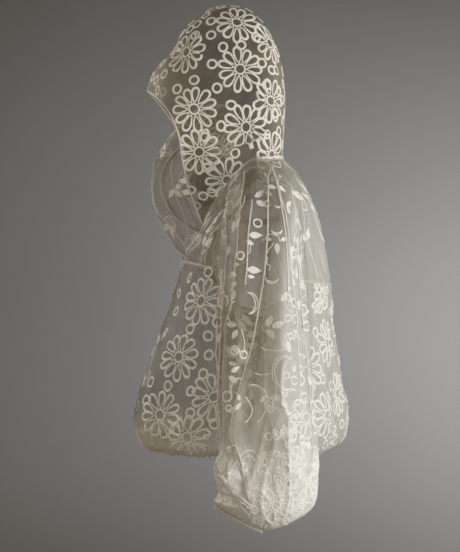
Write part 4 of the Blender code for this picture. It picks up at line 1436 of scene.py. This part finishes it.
def gatheredBand(name, edge, away, shape):
    # a folded casing, drawn up by its elastic into small upright gathers
    edge = evenRing([point + away * shape["gap"] for point in edge], shape["points"])
    count = len(edge)
    middle = sum(edge, Vector()) / count
    rows = []
    for share, stand in trim["bandProfile"]:
        line = []
        for index, point in enumerate(edge):
            out = point - middle
            out = (out - away * out.dot(away)).normalized()
            phase = shape["waves"] * 2 * pi * index / count + 1.5 * noise.noise(point * 60)
            ripple = shape["wave"] * sin(phase)
            stood = stand + ripple * (0.4 + 0.6 * sin(pi * share))
            line.append(point + away * shape["drop"] * share + out * stood)
        rows.append(line)
    return sheetPiece(name, rows, doubledOrganza, closed=True)


def evenRing(points, count):
    # the same closed line with evenly spaced points
    points = [Vector(point) for point in points]
    lengths = [0.0]
    for here, there in zip(points, points[1:] + points[:1]):
        lengths.append(lengths[-1] + (there - here).length)
    ring = []
    index = 0
    for step in range(count):
        at = lengths[-1] * step / count
        while lengths[index + 1] < at:
            index += 1
        share = (at - lengths[index]) / max(lengths[index + 1] - lengths[index], 1e-9)
        ring.append(points[index].lerp(points[(index + 1) % len(points)], share))
    return ring


hemEdge = grids["frontLeft"][-1] + grids["backPanel"][-1][1:] + grids["frontRight"][-1][::-1][1:]
hemBand = gatheredBand("hemBand", hemEdge, Vector((0, 0, -1)), trim["hem"])
for name, word, side in (("left", "Left", 1), ("right", "Right", -1)):
    end = grids["sleeve" + word][-1]
    middle = sum(end, Vector()) / len(end)
    away = (end[0] - middle).cross(end[len(end) // 4] - middle).normalized() * side
    gatheredBand("cuff" + word, end, away, trim["cuff"])
print("edges made")

replaced = {
    "hoodLeft": "hood_left", "hoodRight": "hood_right",
    "frontYokeLeft": "front_yoke_left", "frontYokeRight": "front_yoke_right",
    "frontLeft": "front_left", "frontRight": "front_right", "backYoke": "back_yoke", "backPanel": "back",
    "sleeveLeft": "sleeve_left", "sleeveRight": "sleeve_right",
}
for name, node in replaced.items():
    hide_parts(node)
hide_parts("hem_band")
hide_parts("cuff_left")
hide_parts("cuff_right")

# The cut of each piece of cloth before it was sewn: width, length and area in metres, how it is held and on
# what.
cuts = {
    "frontYokeLeft": (0.190, 0.160, 0.027, "hung", ()),
    "frontYokeRight": (0.190, 0.160, 0.027, "hung", ()),
    "backYoke": (0.460, 0.200, 0.080, "hung", ()),
    "frontLeft": (0.330, 0.310, 0.092, "hung", ("frontYokeLeft",)),
    "frontRight": (0.330, 0.310, 0.092, "hung", ("frontYokeRight",)),
    "backPanel": (0.520, 0.315, 0.158, "hung", ("backYoke",)),
    "hoodLeft": (0.260, 0.330, 0.067, "draped", ("frontYokeLeft", "backYoke")),
    "hoodRight": (0.260, 0.330, 0.067, "draped", ("frontYokeRight", "backYoke")),
    "sleeveLeft": (0.480, 0.460, 0.200, "gathered", ("frontYokeLeft", "backYoke")),
    "sleeveRight": (0.480, 0.460, 0.200, "gathered", ("frontYokeRight", "backYoke")),
}
goesWith = {name: [embroidery[name]] for name in cuts}
goesWith["backYoke"] += [seamPiece]
goesWith["hoodLeft"] += [hoodSeamPiece, rollPiece, neckRollPiece]
goesWith["sleeveLeft"] += [embroidery["creasesLeft"]]
goesWith["sleeveRight"] += [embroidery["creasesRight"]]

# A plain room: floor and round wall in one sweep, which lets the light in.
room = {"floor": -1.25, "radius": 3.4, "cove": 1.0, "coveSteps": 12, "top": 3.5, "around": 96}


def studioMaterial():
    # matt emulsion on a plastered sweep, pale in the rest of the room; behind the camera's view it is painted
    # soft grey, painted shade for a wall in dimmer light
    material, tree, shader = newMaterial("paintedSweep", {"Roughness": 0.9, "Specular IOR Level": 0.2})
    place = addNode(tree, "ShaderNodeTexCoord").outputs
    cloudy = addNode(tree, "ShaderNodeTexNoise", {"Scale": 1.2, "Detail": 2.0}, {"Vector": place["Object"]})
    tone = addNode(tree, "ShaderNodeValToRGB", {}, {"Fac": cloudy})
    for stop, code in zip(tone.color_ramp.elements, ("#696560", "#6f6b65")):
        stop.color = linear(code)
    # painted shade: grey below -2.6 m along x, where the camera looks, pale from -1.2 m on
    across = addNode(tree, "ShaderNodeSeparateXYZ", {}, {"Vector": place["Object"]})
    share = addNode(tree, "ShaderNodeMapRange", {"From Min": -2.6, "From Max": -1.2}, {"Value": across})
    mixed = addNode(tree, "ShaderNodeMix", {"data_type": "RGBA", 7: linear("#c9c5bc")}, {0: share, 6: tone})
    tree.links.new(mixed.outputs[2], shader.inputs["Base Color"])
    return material


sweep = bpy.data.meshes.new("sweep")
profile = [(0.001, room["floor"])]
for share in steps(room["coveSteps"]):
    angle = pi / 2 * share
    profile.append((room["radius"] - room["cove"] * (1 - sin(angle)),
                    room["floor"] + room["cove"] * (1 - cos(angle))))
profile.append((room["radius"], room["top"]))
around = room["around"]
turns = [2 * pi * step / around for step in range(around)]
corners = [(r * cos(turn), r * sin(turn), z) for r, z in profile for turn in turns]
faces = [(i * around + step, i * around + (step + 1) % around, (i + 1) * around + (step + 1) % around,
          (i + 1) * around + step) for i in range(len(profile) - 1) for step in range(around)]
sweep.from_pydata(corners, [], faces)
sweep.shade_smooth()
sweep.materials.append(studioMaterial())
backdrop = bpy.data.objects.new("studioSweep", sweep)
backdrop.visible_shadow = False
backdrop.visible_diffuse = False
scene.collection.objects.link(backdrop)

lights = {
    # place, aim, size, watts, colour, spread in degrees
    "windowLight": ((1.35, 1.7, -0.2), (0.0, 0.0, -0.2), 1.6, 34.0, "#fafcff", 180),
    "rimLight": ((-0.9, 2.1, 0.6), (0.0, 0.0, -0.1), 1.2, 12.0, "#fcfcff", 180),
    "fillLight": ((2.7, -0.9, 0.9), (0.0, 0.0, -0.15), 2.6, 13.0, "#f8ecd4", 180),
    "frontLight": ((-1.4, -2.5, 1.0), (0.0, 0.0, -0.15), 2.2, 42.0, "#fbf6ec", 180),
    "floorBounce": ((1.5, -1.1, -1.15), (0.2, -0.05, -0.42), 1.4, 3.5, "#f7efe0", 180),
    "wallLight": ((-0.9, 2.3, -0.1), (-3.2, 0.9, -0.42), 0.8, 42.0, "#e9f1ff", 70),
}
for name, (place, aim, size, watts, colour, spread) in lights.items():
    lamp = bpy.data.lights.new(name, "AREA")
    lamp.shape = "DISK"
    lamp.size = size
    lamp.energy = watts
    lamp.spread = radians(spread)
    lamp.color = linear(colour)[:3]
    light = bpy.data.objects.new(name, lamp)
    light.location = place
    light.rotation_euler = (Vector(aim) - Vector(place)).to_track_quat("-Z", "Y").to_euler()
    light.visible_camera = False
    scene.collection.objects.link(light)
world = bpy.data.worlds.new("softRoom")
world.use_nodes = True
world.node_tree.nodes["Background"].inputs[0].default_value = linear("#ddd6ca")
world.node_tree.nodes["Background"].inputs[1].default_value = 0.18
scene.world = world

lens = bpy.data.cameras.new("camera")
lens.sensor_fit = "VERTICAL"
lens.sensor_height = 24
lens.lens = 24 * photo["pxPerMetre"] * photo["distance"] / photo["height"]
camera = bpy.data.objects.new("camera", lens)
camera.location = (photo["distance"], photo["y"], photo["z"])
camera.rotation_euler = (radians(90), 0, radians(90))
scene.collection.objects.link(camera)
scene.camera = camera
print("studio ready")
